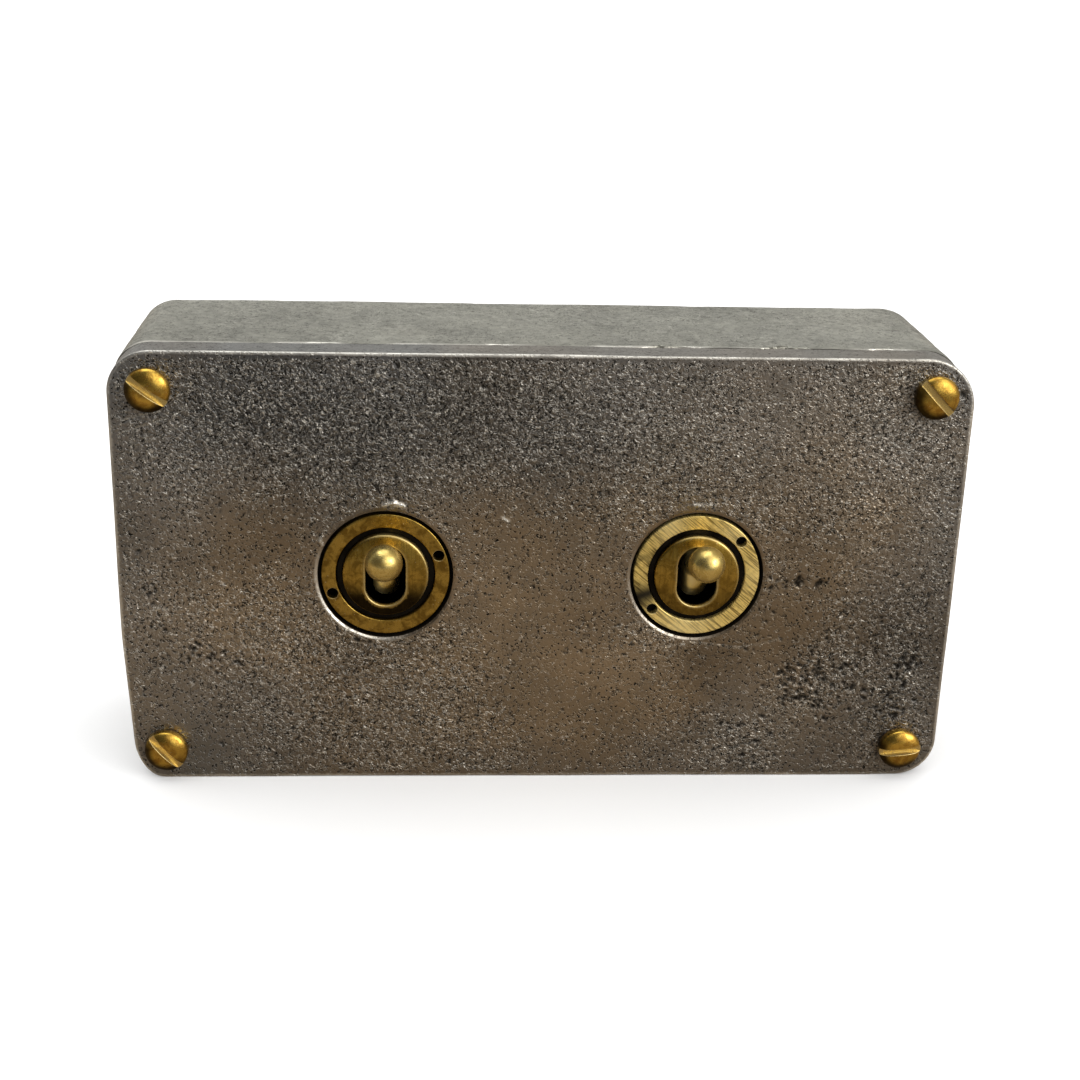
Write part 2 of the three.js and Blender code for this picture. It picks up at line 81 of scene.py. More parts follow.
# ---- Noise that gives the same numbers on every run ----
def lattice(x, y, z, seed):
    """A number from 0 to 1 for each point of a whole-number grid."""
    mixed = (x * 374761393 + y * 668265263 + z * 1440662683 + seed * 2246822519) & 0xFFFFFFFF
    mixed = ((mixed ^ (mixed >> 13)) * 1274126177) & 0xFFFFFFFF
    return ((mixed ^ (mixed >> 16)) & 0xFFFF) / 0xFFFF


def noise(points, size, seed=0):
    """Smooth noise from -1 to 1 at each point, its lumps about `size` mm across."""
    scaled = np.asarray(points) / size
    base = np.floor(scaled).astype(np.int64)
    part = scaled - base
    part = part * part * (3 - 2 * part)
    total = np.zeros(len(base))
    for corner in np.ndindex(2, 2, 2):
        weight = np.prod(np.where(corner, part, 1 - part), axis=1)
        total += weight * lattice(*(base + corner).T, seed)
    return 2 * total - 1


def smooth_step(value, low, high):
    part = np.clip((value - low) / (high - low), 0, 1)
    return part * part * (3 - 2 * part)


# ---- Outlines seen from the front ----
class Outline:
    """A rectangle, each corner with its own radius. With full radii, a circle or a slot."""

    def __init__(self, width, height, radii, spacing, centre=(0, 0)):
        self.half = np.array([width, height]) / 2
        self.radii = np.broadcast_to(radii, 4).astype(float)
        self.centre = np.array(centre, float)
        points, normals = [], []
        signs = ((1, -1), (1, 1), (-1, 1), (-1, -1))  # as CORNERS
        arcs = []
        for index, (sign, radius) in enumerate(zip(signs, self.radii)):
            middle = np.array(sign) * (self.half - radius)
            steps = max(3, round(radius * math.pi / 2 / spacing))
            angles = np.radians(-90 + 90 * index + 90 * np.arange(steps + 1) / steps)
            outward = np.column_stack([np.cos(angles), np.sin(angles)])
            arcs.append((middle + radius * outward, outward))
        for (arc, outward), (following, _) in zip(arcs, arcs[1:] + arcs[:1]):
            run = following[0] - arc[-1]
            length = np.linalg.norm(run)
            count = round(length / spacing)
            last = -1 if length < 1e-6 else len(arc)
            points.append(arc[:last])
            normals.append(outward[:last])
            if count > 1:
                share = np.arange(1, count)[:, None] / count
                points.append(arc[-1] + share * run)
                normals.append(np.repeat(outward[-1:], count - 1, axis=0))
        self.points = np.vstack(points) + self.centre
        self.normals = np.vstack(normals)

    def ring(self, outset):
        return self.points + outset * self.normals

    def distance(self, points):
        """Distance of each point from the outline, negative inside."""
        away = np.asarray(points) - self.centre
        right, top = away[:, 0] > 0, away[:, 1] > 0
        radius = np.select(
            [right & ~top, right & top, ~right & top], self.radii[:3], self.radii[3]
        )
        over = np.abs(away) - self.half + radius[:, None]
        outside = np.linalg.norm(np.maximum(over, 0), axis=1)
        return outside + np.minimum(over.max(axis=1), 0) - radius


def circle(radius, spacing, centre=(0, 0)):
    return Outline(2 * radius, 2 * radius, radius, spacing, centre)


# ---- Meshes ----
def link(name, data):
    """A new object that holds the data."""
    made = bpy.data.objects.new(name, data)
    bpy.context.scene.collection.objects.link(made)
    return made


class Skin:
    """The points, in millimetres, and faces of one piece."""

    def __init__(self):
        self.points = np.empty((0, 3))
        self.faces = []

    def add(self, points):
        start = len(self.points)
        self.points = np.vstack([self.points, points])
        return np.arange(start, len(self.points))

    def join(self, first, second):
        """Quads between two closed rings of the same length."""
        along = zip(first, np.roll(first, -1), np.roll(second, -1), second)
        self.faces += [tuple(int(i) for i in quad) for quad in along]

    def add_at(self, flat, y):
        """Adds points seen from the front at depth y, a number or a function of them."""
        depth = y(flat) if callable(y) else np.full(len(flat), float(y))
        return self.add(np.column_stack([flat[:, 0], depth, flat[:, 1]]))

    def join_all(self, rings):
        for first, second in zip(rings, rings[1:]):
            self.join(first, second)
        return rings

    def wall(self, outline, steps):
        """A ring of the outline at each (outset, y), joined to the next. Returns the rings."""
        return self.join_all([self.add_at(outline.ring(outset), y) for outset, y in steps])

    def pierce(self, outline, steps, starts, ends):
        """A wall whose first and last rings become edges of two sheets."""
        rings = self.wall(outline, steps)
        starts.append((outline, steps[0][0], rings[0]))
        ends.append((outline, steps[-1][0], rings[-1]))

    def sheet(self, edges, spacing, y, extra=None):
        """Fills the region inside the first edge and outside the others.

        Each edge is (outline, outset, ring), the ring's points being in the skin already.
        """
        rings = [ring for _, _, ring in edges]

        def inside(points, margin):
            outer, outset, _ = edges[0]
            kept = outer.distance(points) < outset - margin
            for hole, outset, _ in edges[1:]:
                kept &= hole.distance(points) > outset + margin
            return kept

        outer = edges[0][0]
        reach = outer.half + edges[0][1]
        axes = [np.arange(-r + spacing / 2, r, spacing) for r in reach]
        grid = np.stack(np.meshgrid(*axes), axis=-1).reshape(-1, 2) + outer.centre
        grid += rng.uniform(-0.3, 0.3, grid.shape) * spacing
        grid = grid[inside(grid, 0.6 * spacing)]
        if extra is not None:
            grid = np.vstack([extra, grid])
        filling = self.add_at(grid, y)
        used = np.concatenate(rings + [filling])
        flat = self.points[used][:, [0, 2]]
        constraints, start = [], 0
        for ring in rings:
            count = len(ring)
            constraints += [(start + i, start + (i + 1) % count) for i in range(count)]
            start += count
        _, _, faces, original, _, _ = delaunay_2d_cdt(
            [Vector(p) for p in flat], constraints, [], 0, 1e-9
        )
        faces = np.array([[original[i][0] for i in face] for face in faces])
        middles = flat[faces].mean(axis=1)
        self.faces += [tuple(int(i) for i in face) for face in used[faces[inside(middles, 0)]]]

    def turned(self, profile, segments, axis="y", centre=(0, 0, 0)):
        """A profile of (radius, along) pairs turned about an axis through the centre."""
        angles = 2 * math.pi * np.arange(segments) / segments
        rings = []
        for radius, along in profile:
            a, b = radius * np.cos(angles), radius * np.sin(angles)
            level = np.full(segments, float(along))
            columns = {"y": [a, level, b], "x": [level, a, b]}[axis]
            rings.append(self.add(np.column_stack(columns) + centre))
        return self.join_all(rings)


def corner_steps(radius, outset, y, count=4):
    """(outset, y) pairs round an outer corner, from the face at y to the side at that outset."""
    angles = np.linspace(0, math.pi / 2, count + 1)
    return [(outset - radius * (1 - math.sin(a)), y + radius * (1 - math.cos(a))) for a in angles]


def closed_mesh(name, skin):
    """A mesh in metres with coincident points merged and all faces turned outwards."""
    mesh = bpy.data.meshes.new(name)
    mesh.from_pydata((skin.points * MM).tolist(), [], skin.faces)
    shape = bmesh.new()
    shape.from_mesh(mesh)
    bmesh.ops.remove_doubles(shape, verts=shape.verts, dist=1e-7)
    bmesh.ops.recalc_face_normals(shape, faces=shape.faces)
    shape.to_mesh(mesh)
    shape.free()
    return mesh


def coordinates(mesh):
    """The mesh's points, in millimetres."""
    flat = np.empty(3 * len(mesh.vertices))
    mesh.vertices.foreach_get("co", flat)
    return flat.reshape(-1, 3) / MM


def move_to(mesh, points):
    mesh.vertices.foreach_set("co", (points * MM).ravel())
    mesh.update()


def roughen(mesh, relief):
    """Moves each point along its normal by relief's first result, in mm.

    Returns the points as they were and relief's other results.
    """
    points = coordinates(mesh)
    normals = np.empty(3 * len(mesh.vertices))
    mesh.vertex_normals.foreach_get("vector", normals)
    normals = normals.reshape(-1, 3)
    height, *others = relief(points, normals)
    move_to(mesh, points + normals * height[:, None])
    return points, *others


def paint(mesh, name, values):
    """Stores a number for each point, which a material reads by this name."""
    layer = mesh.attributes.new(name, "FLOAT", "POINT")
    layer.data.foreach_set("value", np.asarray(values, np.float32))


def piece(name, mesh, material, body, slot, *nodes, sharp=38):
    """Makes the object, rides it on a body, and hides the CAD nodes that it stands for."""
    mesh.shade_smooth()
    mesh.set_sharp_from_angle(angle=math.radians(sharp))
    mesh.materials.append(material)
    made = link(name, mesh)
    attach(made, body)
    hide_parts(*nodes)
    return made


# ---- Materials ----
class Nodes:
    """Adds nodes to a tree and links them."""

    def __init__(self, tree):
        self.tree = tree

    def node(self, kind, inputs=(), **settings):
        made = self.tree.nodes.new(kind)
        for key, value in settings.items():
            setattr(made, key, value)
        for key, value in dict(inputs).items():
            self.feed(made.inputs[key], value)
        return made

    def feed(self, socket, value):
        if isinstance(value, bpy.types.NodeSocket):
            self.tree.links.new(value, socket)
        else:
            socket.default_value = value

    def ramp(self, value, low, high, first=0.0, last=1.0, smooth=True):
        """Maps value from low..high to first..last."""
        inputs = {0: value, 1: low, 2: high, 3: first, 4: last}
        kind = "SMOOTHSTEP" if smooth else "LINEAR"
        return self.node("ShaderNodeMapRange", inputs, interpolation_type=kind).outputs[0]

    def mix(self, share, first, second):
        made = self.node("ShaderNodeMix", data_type="RGBA")
        for index, value in ((0, share), (6, first), (7, second)):
            self.feed(made.inputs[index], (*value, 1) if isinstance(value, tuple) else value)
        return made.outputs[2]


class Recipe(Nodes):
    """A material built from nodes. Sizes are in millimetres, in the frame of the CAD."""

    def __init__(self, name, metallic, roughness, color=(0.5, 0.5, 0.5)):
        self.material = bpy.data.materials.new(name)
        self.material.use_nodes = True
        super().__init__(self.material.node_tree)
        self.shader = self.tree.nodes["Principled BSDF"]
        self.shader.inputs["Metallic"].default_value = metallic
        self.shader.inputs["Roughness"].default_value = roughness
        self.shader.inputs["Base Color"].default_value = (*color, 1)
        place = self.tree.nodes.new("ShaderNodeTexCoord")
        self.place = self.vector("SCALE", place.outputs["Object"], scale=1 / MM)

    def vector(self, operation, value, by=None, scale=None):
        inputs = {0: value}
        if by is not None:
            inputs[1] = by
        if scale is not None:
            inputs["Scale"] = scale
        return self.node("ShaderNodeVectorMath", inputs, operation=operation).outputs[0]

    def math(self, operation, first, second=0.0, clamp=False):
        inputs = {0: first, 1: second}
        made = self.node("ShaderNodeMath", inputs, operation=operation, use_clamp=clamp)
        return made.outputs[0]

    def times(self, first, second):
        return self.math("MULTIPLY", first, second)

    def noise(self, size, detail=2.0, rough=0.5, distortion=0.0, stretch=None, offset=0.0):
        """Noise from 0 to 1, its lumps about `size` mm across and longer along stretched axes."""
        place = self.place
        if offset:
            place = self.vector("ADD", place, by=(offset, offset, offset))
        if stretch:
            place = self.vector("DIVIDE", place, by=stretch)
        inputs = {
            "Vector": place,
            "Scale": 1 / size,
            "Detail": detail,
            "Roughness": rough,
            "Distortion": distortion,
        }
        return self.node("ShaderNodeTexNoise", inputs).outputs["Fac"]

    def cells(self, size, wobble=0.0, offset=0.0):
        """Distance from the nearest of scattered points, in cells of `size` mm."""
        place = self.place
        if wobble:
            field = self.node("ShaderNodeTexNoise", {"Vector": place, "Scale": 1.2 / size})
            push = self.vector("SCALE", field.outputs["Color"], scale=wobble)
            place = self.vector("ADD", place, by=push)
        if offset:
            place = self.vector("ADD", place, by=(offset, offset, offset))
        made = self.node("ShaderNodeTexVoronoi", {"Vector": place, "Scale": 1 / size})
        return made.outputs["Distance"]

    def grey(self, value):
        """The same value for red, green and blue."""
        inputs = {0: value, 1: value, 2: value}
        return self.node("ShaderNodeCombineXYZ", inputs).outputs[0]

    def attribute(self, name):
        return self.node("ShaderNodeAttribute", attribute_name=name).outputs["Fac"]

    def edges(self, radius, samples=6):
        """0 on a flat face, rising towards 1 at sharp edges within `radius` mm."""
        rounded = self.node("ShaderNodeBevel", {"Radius": radius * MM}, samples=samples)
        true = self.node("ShaderNodeNewGeometry").outputs["Normal"]
        dot = self.node(
            "ShaderNodeVectorMath", {0: rounded.outputs[0], 1: true}, operation="DOT_PRODUCT"
        )
        return self.ramp(dot.outputs["Value"], 1.0, 0.8)

    def bump(self, height, depth, onto=None):
        """Bumps as high as height times `depth` mm, on top of an earlier bump."""
        inputs = {"Height": height, "Distance": depth * MM, "Strength": 1.0}
        if onto is not None:
            inputs["Normal"] = onto
        return self.node("ShaderNodeBump", inputs).outputs["Normal"]

    def finish(self, color, roughness=None, normal=None):
        given = {"Base Color": color, "Roughness": roughness, "Normal": normal}
        for key, value in given.items():
            if value is not None:
                self.feed(self.shader.inputs[key], value)
        return self.material


def cast_metal(name, cool, warm_tint, shade, depth, marks=1.0):
    """Sand-cast metal: smooth or wormy skin, grime and painted shade in the hollows and black
    pores, worn tops with a painted highlight, bare metal and painted highlights, painted light
    and shade, and a painted reflection of a brown table.
    """
    r = Recipe(name, metallic=1.0, roughness=0.4)
    rough_skin = r.attribute("pitted")
    bare_and_highlight = r.attribute("bare_and_highlight")
    covered = r.math("SUBTRACT", 1.0, bare_and_highlight, clamp=True)
    # warmer in places: a painted reflection of the brown table that the box stood on
    color = r.mix(r.attribute("reflected_table_share"), cool, warm_tint)
    color = r.mix(r.ramp(r.noise(7, detail=4, rough=0.6), 0.35, 0.7, 0.0, 0.3), color, shade)
    # painted light and shade: the light attribute lightens or darkens the colour
    color = r.vector("MULTIPLY", color, by=r.grey(r.attribute("light")))

    def threads(size, gap, offset, width, sparse, dense, faint):
        """Short winding lines where a noise crosses its middle, broken by another noise."""
        field = r.noise(size, 1.0, distortion=0.9, offset=offset)
        crossing = r.math("ABSOLUTE", r.math("SUBTRACT", field, 0.5))
        limit = r.ramp(rough_skin, 0.0, 1.0, sparse, dense)
        runs = r.ramp(r.math("SUBTRACT", r.noise(gap, 1.0, offset=offset + 6), limit), 0.0, 0.07)
        line = r.times(r.ramp(crossing, 0.35 * width, width, 1.0, 0.0), runs)
        return r.times(line, r.ramp(rough_skin, 0.05, 0.6, faint, 1.0))

    hollow = r.times(threads(1.0, 1.0, 7, 0.052, 0.53, 0.43, 0.6), marks)
    ridge = r.times(threads(0.9, 1.0, 31, 0.046, 0.57, 0.42, 0.35), marks)
    bumps = r.ramp(r.noise(0.7, detail=1.5, rough=0.5, distortion=0.8, offset=7), 0.34, 0.66)
    bumpy = r.times(bumps, r.ramp(rough_skin, 0.05, 0.8, 0.12, 1.0))
    # pores: small black marks, more and larger on the rough skin
    gate = r.ramp(r.noise(1.6, detail=2, offset=19), 0.3, 0.46)
    reach = r.times(gate, r.ramp(rough_skin, 0.0, 1.0, 0.28, 0.25))
    pore = r.ramp(r.math("SUBTRACT", r.cells(0.72, wobble=1.2), reach), -0.07, 0.03, 1.0, 0.0)
    pore = r.times(pore, r.ramp(rough_skin, 0.02, 0.08, 0.0, marks))
    # darker in the worm hollows and the pores: grime, and painted shade in them
    grime_and_shade = r.math("MAXIMUM", r.times(hollow, 0.88), pore)
    grime_and_shade = r.math("MAXIMUM", grime_and_shade, r.attribute("grime_and_shade"))
    grime_and_shade = r.times(grime_and_shade, covered)
    # lighter bump tops and ridges: worn metal, and a painted highlight on them
    color = r.mix(r.times(bumpy, 0.22), color, (0.6, 0.58, 0.54))
    color = r.mix(r.times(ridge, 0.68), color, (0.88, 0.86, 0.81))
    color = r.mix(r.times(grime_and_shade, 0.94), color, (0.012, 0.011, 0.01))
    # near white where the metal is bare, and at painted highlights
    color = r.mix(bare_and_highlight, color, (0.95, 0.93, 0.87))
    gloss = r.ramp(bumps, 0.0, 1.0, 0.4, 0.3)
    gloss = r.math("ADD", gloss, r.times(grime_and_shade, 0.35))
    normal = r.bump(bumpy, 0.12 * depth)
    normal = r.bump(ridge, 0.1 * depth, onto=normal)
    normal = r.bump(r.times(hollow, -1.0), 0.14 * depth, onto=normal)
    normal = r.bump(r.times(pore, -1.0), 0.18 * depth, onto=normal)
    return r.finish(color, gloss, normal)


def aged_brass(name, bright, dark, aged, roughness, streak=0.0, angle=0.0, metallic=1.0):
    """Brass with brown patina, a little mottling and, with streak, brushed lines across it;
    rubbed edges with a painted highlight, and painted shade and painted highlights where a piece
    paints them.
    """
    r = Recipe(name, metallic=metallic, roughness=roughness)
    mottle = r.noise(1.5, detail=4, rough=0.65, distortion=0.5)
    color = r.mix(r.ramp(mottle, 0.38, 0.64, 0.0, aged), bright, dark)
    rough = r.ramp(mottle, 0.35, 0.7, roughness - 0.05, roughness + 0.12)
    fine = r.noise(0.28, detail=3, rough=0.65, offset=3)
    height = fine
    if streak:
        turn = r.node(
            "ShaderNodeVectorRotate", {"Vector": r.place, "Angle": angle}, rotation_type="Y_AXIS"
        )
        long = r.vector("DIVIDE", turn.outputs[0], by=(4.5, 1.0, 0.2))
        lines = r.node("ShaderNodeTexNoise", {"Vector": long, "Scale": 1.0, "Detail": 3.0})
        brushed = lines.outputs["Fac"]
        color = r.mix(r.ramp(brushed, 0.45, 0.62, 0.0, streak), color, dark)
        height = r.math("ADD", brushed, r.times(fine, 0.3))
    spots = r.ramp(r.cells(1.1, wobble=0.6, offset=5), 0.06, 0.14, 0.8, 0.0)
    spotted = r.times(spots, r.ramp(r.noise(2.5, offset=9), 0.46, 0.6))
    color = r.mix(spotted, color, (0.02, 0.014, 0.006))
    specks = r.ramp(r.cells(0.9, wobble=0.6, offset=15), 0.05, 0.12, 0.7, 0.0)
    color = r.mix(r.times(specks, aged), color, (0.85, 0.72, 0.42))
    # lighter edges: rubbed metal, and a painted highlight along them
    edge_wear_and_highlight = r.edges(0.22)
    color = r.mix(r.times(edge_wear_and_highlight, 0.85), color, (0.95, 0.85, 0.58))
    painted_shade_share, bare_and_highlight = r.attribute("painted_shade"), r.attribute("bare_and_highlight")
    # near black where painted shade is asked for, near white at painted highlights
    color = r.mix(painted_shade_share, color, (0.006, 0.004, 0.003))
    color = r.mix(bare_and_highlight, color, (1.0, 0.84, 0.42))
    rough = r.math("ADD", rough, r.times(r.math("MAXIMUM", painted_shade_share, bare_and_highlight), 0.25))
    return r.finish(color, rough, r.bump(height, 0.02))


def plain(name, color, other, roughness, metallic, size=0.8, depth=0.02, stretch=None):
    """A finish with a slight change of colour and shine from place to place."""
    r = Recipe(name, metallic=metallic, roughness=roughness)
    lumps = r.noise(size, detail=3, rough=0.6, stretch=stretch)
    wide = r.noise(size * 7, detail=2, offset=4)
    tinted = r.mix(r.ramp(wide, 0.3, 0.7), color, other)
    rough = r.ramp(lumps, 0.3, 0.7, roughness - 0.06, roughness + 0.08)
    return r.finish(tinted, rough, r.bump(lumps, depth))


BRASS = (0.80, 0.60, 0.22)
materials = {
    "plate": cast_metal(
        "cast_plate", (0.30, 0.302, 0.305), (0.37, 0.292, 0.205), (0.18, 0.172, 0.155), 1
    ),
    "box": cast_metal(
        "cast_box", (0.48, 0.478, 0.425), (0.47, 0.45, 0.39), (0.3, 0.3, 0.265), 1, marks=0.55
    ),
    "screw": aged_brass("polished_brass", (0.74, 0.48, 0.09), (0.3, 0.14, 0.022), 0.75, 0.2),
    # one brass for both ring nuts: the left one darker and the right one brighter as painted
    # shade and painted light, for how each reflects the room; the right ring's brushed streaks
    # are its own
    "nut_left": aged_brass("ring_brass_left", (0.5, 0.33, 0.07), (0.22, 0.13, 0.022), 1.0, 0.3),
    "nut_right": aged_brass(
        "ring_brass_right",
        (1.0, 0.75, 0.24),
        (0.2, 0.13, 0.03),
        0.35,
        0.38,
        streak=0.9,
        angle=-0.7,
        metallic=0.82,
    ),
    "insert": aged_brass(
        "insert_brass",
        (0.5, 0.325, 0.065),
        (0.22, 0.13, 0.02),
        0.85,
        0.26,
        streak=0.4,
        angle=math.pi / 2,
    ),
    "lever": aged_brass("lever_brass", (0.9, 0.7, 0.25), (0.5, 0.34, 0.08), 0.6, 0.27),
    "black_metal": plain(
        "blackened_bush", (0.01, 0.009, 0.008), (0.02, 0.018, 0.016), 0.32, 1.0, 0.5
    ),
    "moulding": plain("moulded_black", (0.022, 0.02, 0.019), (0.03, 0.028, 0.026), 0.55, 0, 0.6),
    "terminal": plain("terminal_brass", BRASS, (0.66, 0.5, 0.2), 0.28, 1.0, 0.5, 0.012),
    "contact": plain(
        "contact_copper", (0.78, 0.45, 0.28), (0.6, 0.36, 0.24), 0.3, 1.0, 0.5, 0.01, (1, 8, 8)
    ),
    "steel": plain("plated_steel", (0.62, 0.62, 0.61), (0.52, 0.52, 0.5), 0.3, 1.0, 0.5, 0.01),
    "nylon": plain("natural_nylon", (0.74, 0.71, 0.62), (0.68, 0.65, 0.56), 0.45, 0, 0.7, 0.01),
    "rubber": plain("grommet_rubber", (0.018, 0.018, 0.018), (0.03, 0.03, 0.03), 0.75, 0, 0.5),
}


# ---- Where the castings are rough, where a painted reflection of a brown table warms them, and their painted light and shade ----
# each spot is x, z, reach in mm, and how much it adds
ROUGH = (
    (-45, 30, 15, 0.5), (-25, 29, 14, 0.5), (-8, 31, 11, 0.4), (-62, 22, 10, 0.35),
    (-34, -18, 12, 0.45), (-22, -26, 11, 0.45), (-44, -28, 9, 0.3), (-50, -14, 9, 0.25),
    (25, 27, 12, 0.35), (8, 26, 10, 0.25), (62, 28, 11, 0.5), (50, -20, 7, 0.45),
    (65, -19, 6, 0.4), (62, -3, 9, 0.15), (37, -34, 7, 0.35), (-52, 10, 10, -0.3),
    (0, -10, 13, -0.3), (8, -28, 14, -0.25), (35, -20, 9, -0.3), (-5, 8, 10, -0.2),
    (28, 36, 7, -0.2), (46, 0, 8, -0.2), (40, -11, 8, -0.25), (52, -31, 6, -0.3),
    (-62, -32, 9, -0.3),
)
# painted reflection of the brown table: where the front is warmer or cooler
TABLE_REFLECTION = (
    (5, -8, 26, 0.8), (45, -6, 22, 0.8), (-48, 0, 20, 0.8), (-30, -24, 22, 0.6),
    (55, 20, 18, 0.3), (20, 8, 16, 0.4), (-10, 8, 14, 0.4), (2, -28, 22, 0.4),
    (-50, 34, 14, -0.35),
)
# painted light and shade: where the front is lighter or darker, as its reflections are
PAINTED_LIGHT = (
    (-47, 31, 14, -0.5), (-32, 24, 11, -0.24), (-12, 31, 14, -0.46), (4, 22, 11, -0.26),
    (-30, 19, 8, -0.2), (-47, 4, 8, -0.15), (14, 29, 9, -0.14), (24, 23, 8, -0.14),
    (30, 34, 8, 0.1), (45, 28, 9, 0.12), (60, 15, 10, 0.15), (-54, 12, 7, 0.12),
    (-65, -8, 12, 0.22), (-50, -14, 12, 0.2), (-30, -15, 6, -0.2), (-9, -6, 12, 0.24),
    (2, -18, 14, 0.12), (17, -16, 9, 0.2), (29, -15, 5, -0.3), (14, -30, 12, 0.12),
    (45, -26, 8, 0.15), (64, -14, 13, -0.48), (48, 8, 8, -0.1), (-50, -26, 12, -0.15),
    (45, -12, 10, -0.12), (56, -36, 10, -0.2),
)


def patches(points, spots, start):
    """start plus each spot's share, fading out from its middle."""
    total = np.full(len(points), float(start))
    for x, z, reach, amount in spots:
        away = ((points[:, 0] - x) ** 2 + (points[:, 2] - z) ** 2) / reach**2
        total += amount * np.exp(-away)
    return total


def rough_share(points, start):
    wander = 0.2 * noise(points, 6, 3) + 0.12 * noise(points, 2.5, 6)
    return np.clip(patches(points, ROUGH, start) + wander, 0.04, 1)


def grain(points, rough):
    """Worm-like hollows between low bumps: 0 on the bumps, 1 in the hollows."""
    bend = np.column_stack([noise(points, 1.9, seed) for seed in (31, 32, 33)])
    crossing = np.abs(noise(points + 0.5 * bend, 0.95, 34))
    broken = smooth_step(noise(points, 1.1, 35) - 0.75 + 1.1 * rough, 0, 0.4)
    return (1 - smooth_step(crossing, 0.03, 0.34)) * broken


# x, z and reach of the clusters of large pits, and how many pits each has
PIT_CLUSTERS = (
    (-67.8, -2.9, 1.6, 8), (-61.5, -14.2, 1.8, 9), (-57.2, -15.1, 1.5, 8), (-52.9, -16.1, 1.2, 5),
    (-66, -10, 2.2, 5), (-31, -12, 3.0, 12), (45, -0.8, 1.2, 7), (49, -1.5, 1.3, 6),
    (41, -1.5, 1.6, 6), (49, -18, 6, 44), (52, -24, 5, 34), (46, -22, 4, 24), (65, -17, 4, 30),
    (64, -25, 4, 22), (37, -33, 6, 26), (71.3, 33.5, 0.9, 9),
)


def pit_places(seed):
    """x, z, radius, turn and length of each pit in the plate's front."""
    draw = np.random.default_rng(seed)
    count = 420
    places = draw.uniform(-0.5, 0.5, (count, 2)) * (WIDTH - 4, HEIGHT - 4)
    sizes = draw.uniform(0.2, 0.36, count) * draw.uniform(0.8, 1.3, count)
    for x, z, reach, number in PIT_CLUSTERS:
        near = (x, z) + reach * 0.5 * draw.standard_normal((number, 2))
        places = np.vstack([places, near])
        sizes = np.concatenate([sizes, draw.uniform(0.28, 0.62, number)])
    turns = draw.uniform(0, math.pi, len(sizes))
    lengths = draw.uniform(1.0, 1.9, len(sizes))
    return zip(places, sizes, turns, lengths)


def pits(points, seed):
    """How deep each point lies in a pit: 0 outside, 1 at the bottom; and the depth in mm."""
    share, depth = np.zeros(len(points)), np.zeros(len(points))
    ragged = 1 + 0.3 * noise(points, 0.6, 41)
    for (x, z), size, turn, length in pit_places(seed):
        reach = 2 * size * length
        near = np.flatnonzero(
            (np.abs(points[:, 0] - x) < reach) & (np.abs(points[:, 2] - z) < reach)
        )
        dx, dz = points[near, 0] - x, points[near, 2] - z
        along = dx * math.cos(turn) + dz * math.sin(turn)
        across = dz * math.cos(turn) - dx * math.sin(turn)
        away = np.sqrt((along / length) ** 2 + across**2) / size * ragged[near]
        inside = smooth_step(1 - away, 0, 0.8)
        share[near] = np.maximum(share[near], inside)
        depth[near] = np.maximum(depth[near], 0.55 * size * inside)
    return share, depth


# scratches from x, z to x, z with their half-width and depth in mm, and how bare the metal is
SCRATCHES = (
    (17.5, -14.2, 27.0, -12.4, 0.3, 0.1, 0.1), (27.0, -12.4, 36.0, -13.4, 0.3, 0.12, 0.15),
    (36.0, -13.4, 43.5, -11.8, 0.28, 0.08, 0.1), (-71.0, 27.6, -64.5, 29.4, 0.24, 0.07, 0.35),
    (-71.2, 25.4, -63.5, 28.0, 0.24, 0.07, 0.3), (-67.5, 23.6, -61.0, 26.8, 0.22, 0.05, 0.25),
    (-36.0, 17.6, -14.0, 18.8, 0.35, 0.06, 0.05), (-7.1, 10.9, -6.0, 10.2, 0.42, 0.12, 0.9),
    (-27.6, 12.9, -25.8, 13.4, 0.5, -0.22, 0.9), (-25.8, 13.3, -24.0, 12.7, 0.6, -0.25, 1.0),
    (26.0, 13.2, 29.0, 13.2, 0.4, -0.12, 0.5), (-38.4, 6.6, -38.0, 5.6, 0.45, -0.15, 0.9),
)


def scratched(points):
    """How deep each point lies in a scratch, in mm, and how bare its metal is."""
    depth, bare_and_highlight = np.zeros(len(points)), np.zeros(len(points))
    ragged = 1 + 0.25 * noise(points, 0.7, 43)
    for x0, z0, x1, z1, reach, deep, shine in SCRATCHES:
        start, run = np.array([x0, z0]), np.array([x1 - x0, z1 - z0])
        offset = points[:, [0, 2]] - start
        share = np.clip(offset @ run / (run @ run), 0, 1)
        away = np.linalg.norm(offset - share[:, None] * run, axis=1) / reach * ragged
        inside = smooth_step(1 - away, 0, 0.8)
        depth += deep * inside
        bare_and_highlight = np.maximum(bare_and_highlight, shine * inside)
    return depth, bare_and_highlight


def paint_casting(mesh, points, rough, brown, grime_and_shade, bare_and_highlight):
    # the warm share is a painted reflection of the brown table; the bare share is bare metal and
    # painted highlights; the grime share is grime and painted shade
    reflected_table_share = patches(points, TABLE_REFLECTION, brown) + 0.25 * noise(points, 12, 5)
    paint(mesh, "bare_and_highlight", np.clip(bare_and_highlight, 0, 1))
    paint(mesh, "pitted", rough)
    paint(mesh, "reflected_table_share", np.clip(reflected_table_share, 0, 1))
    paint(mesh, "grime_and_shade", np.clip(grime_and_shade, 0, 1))


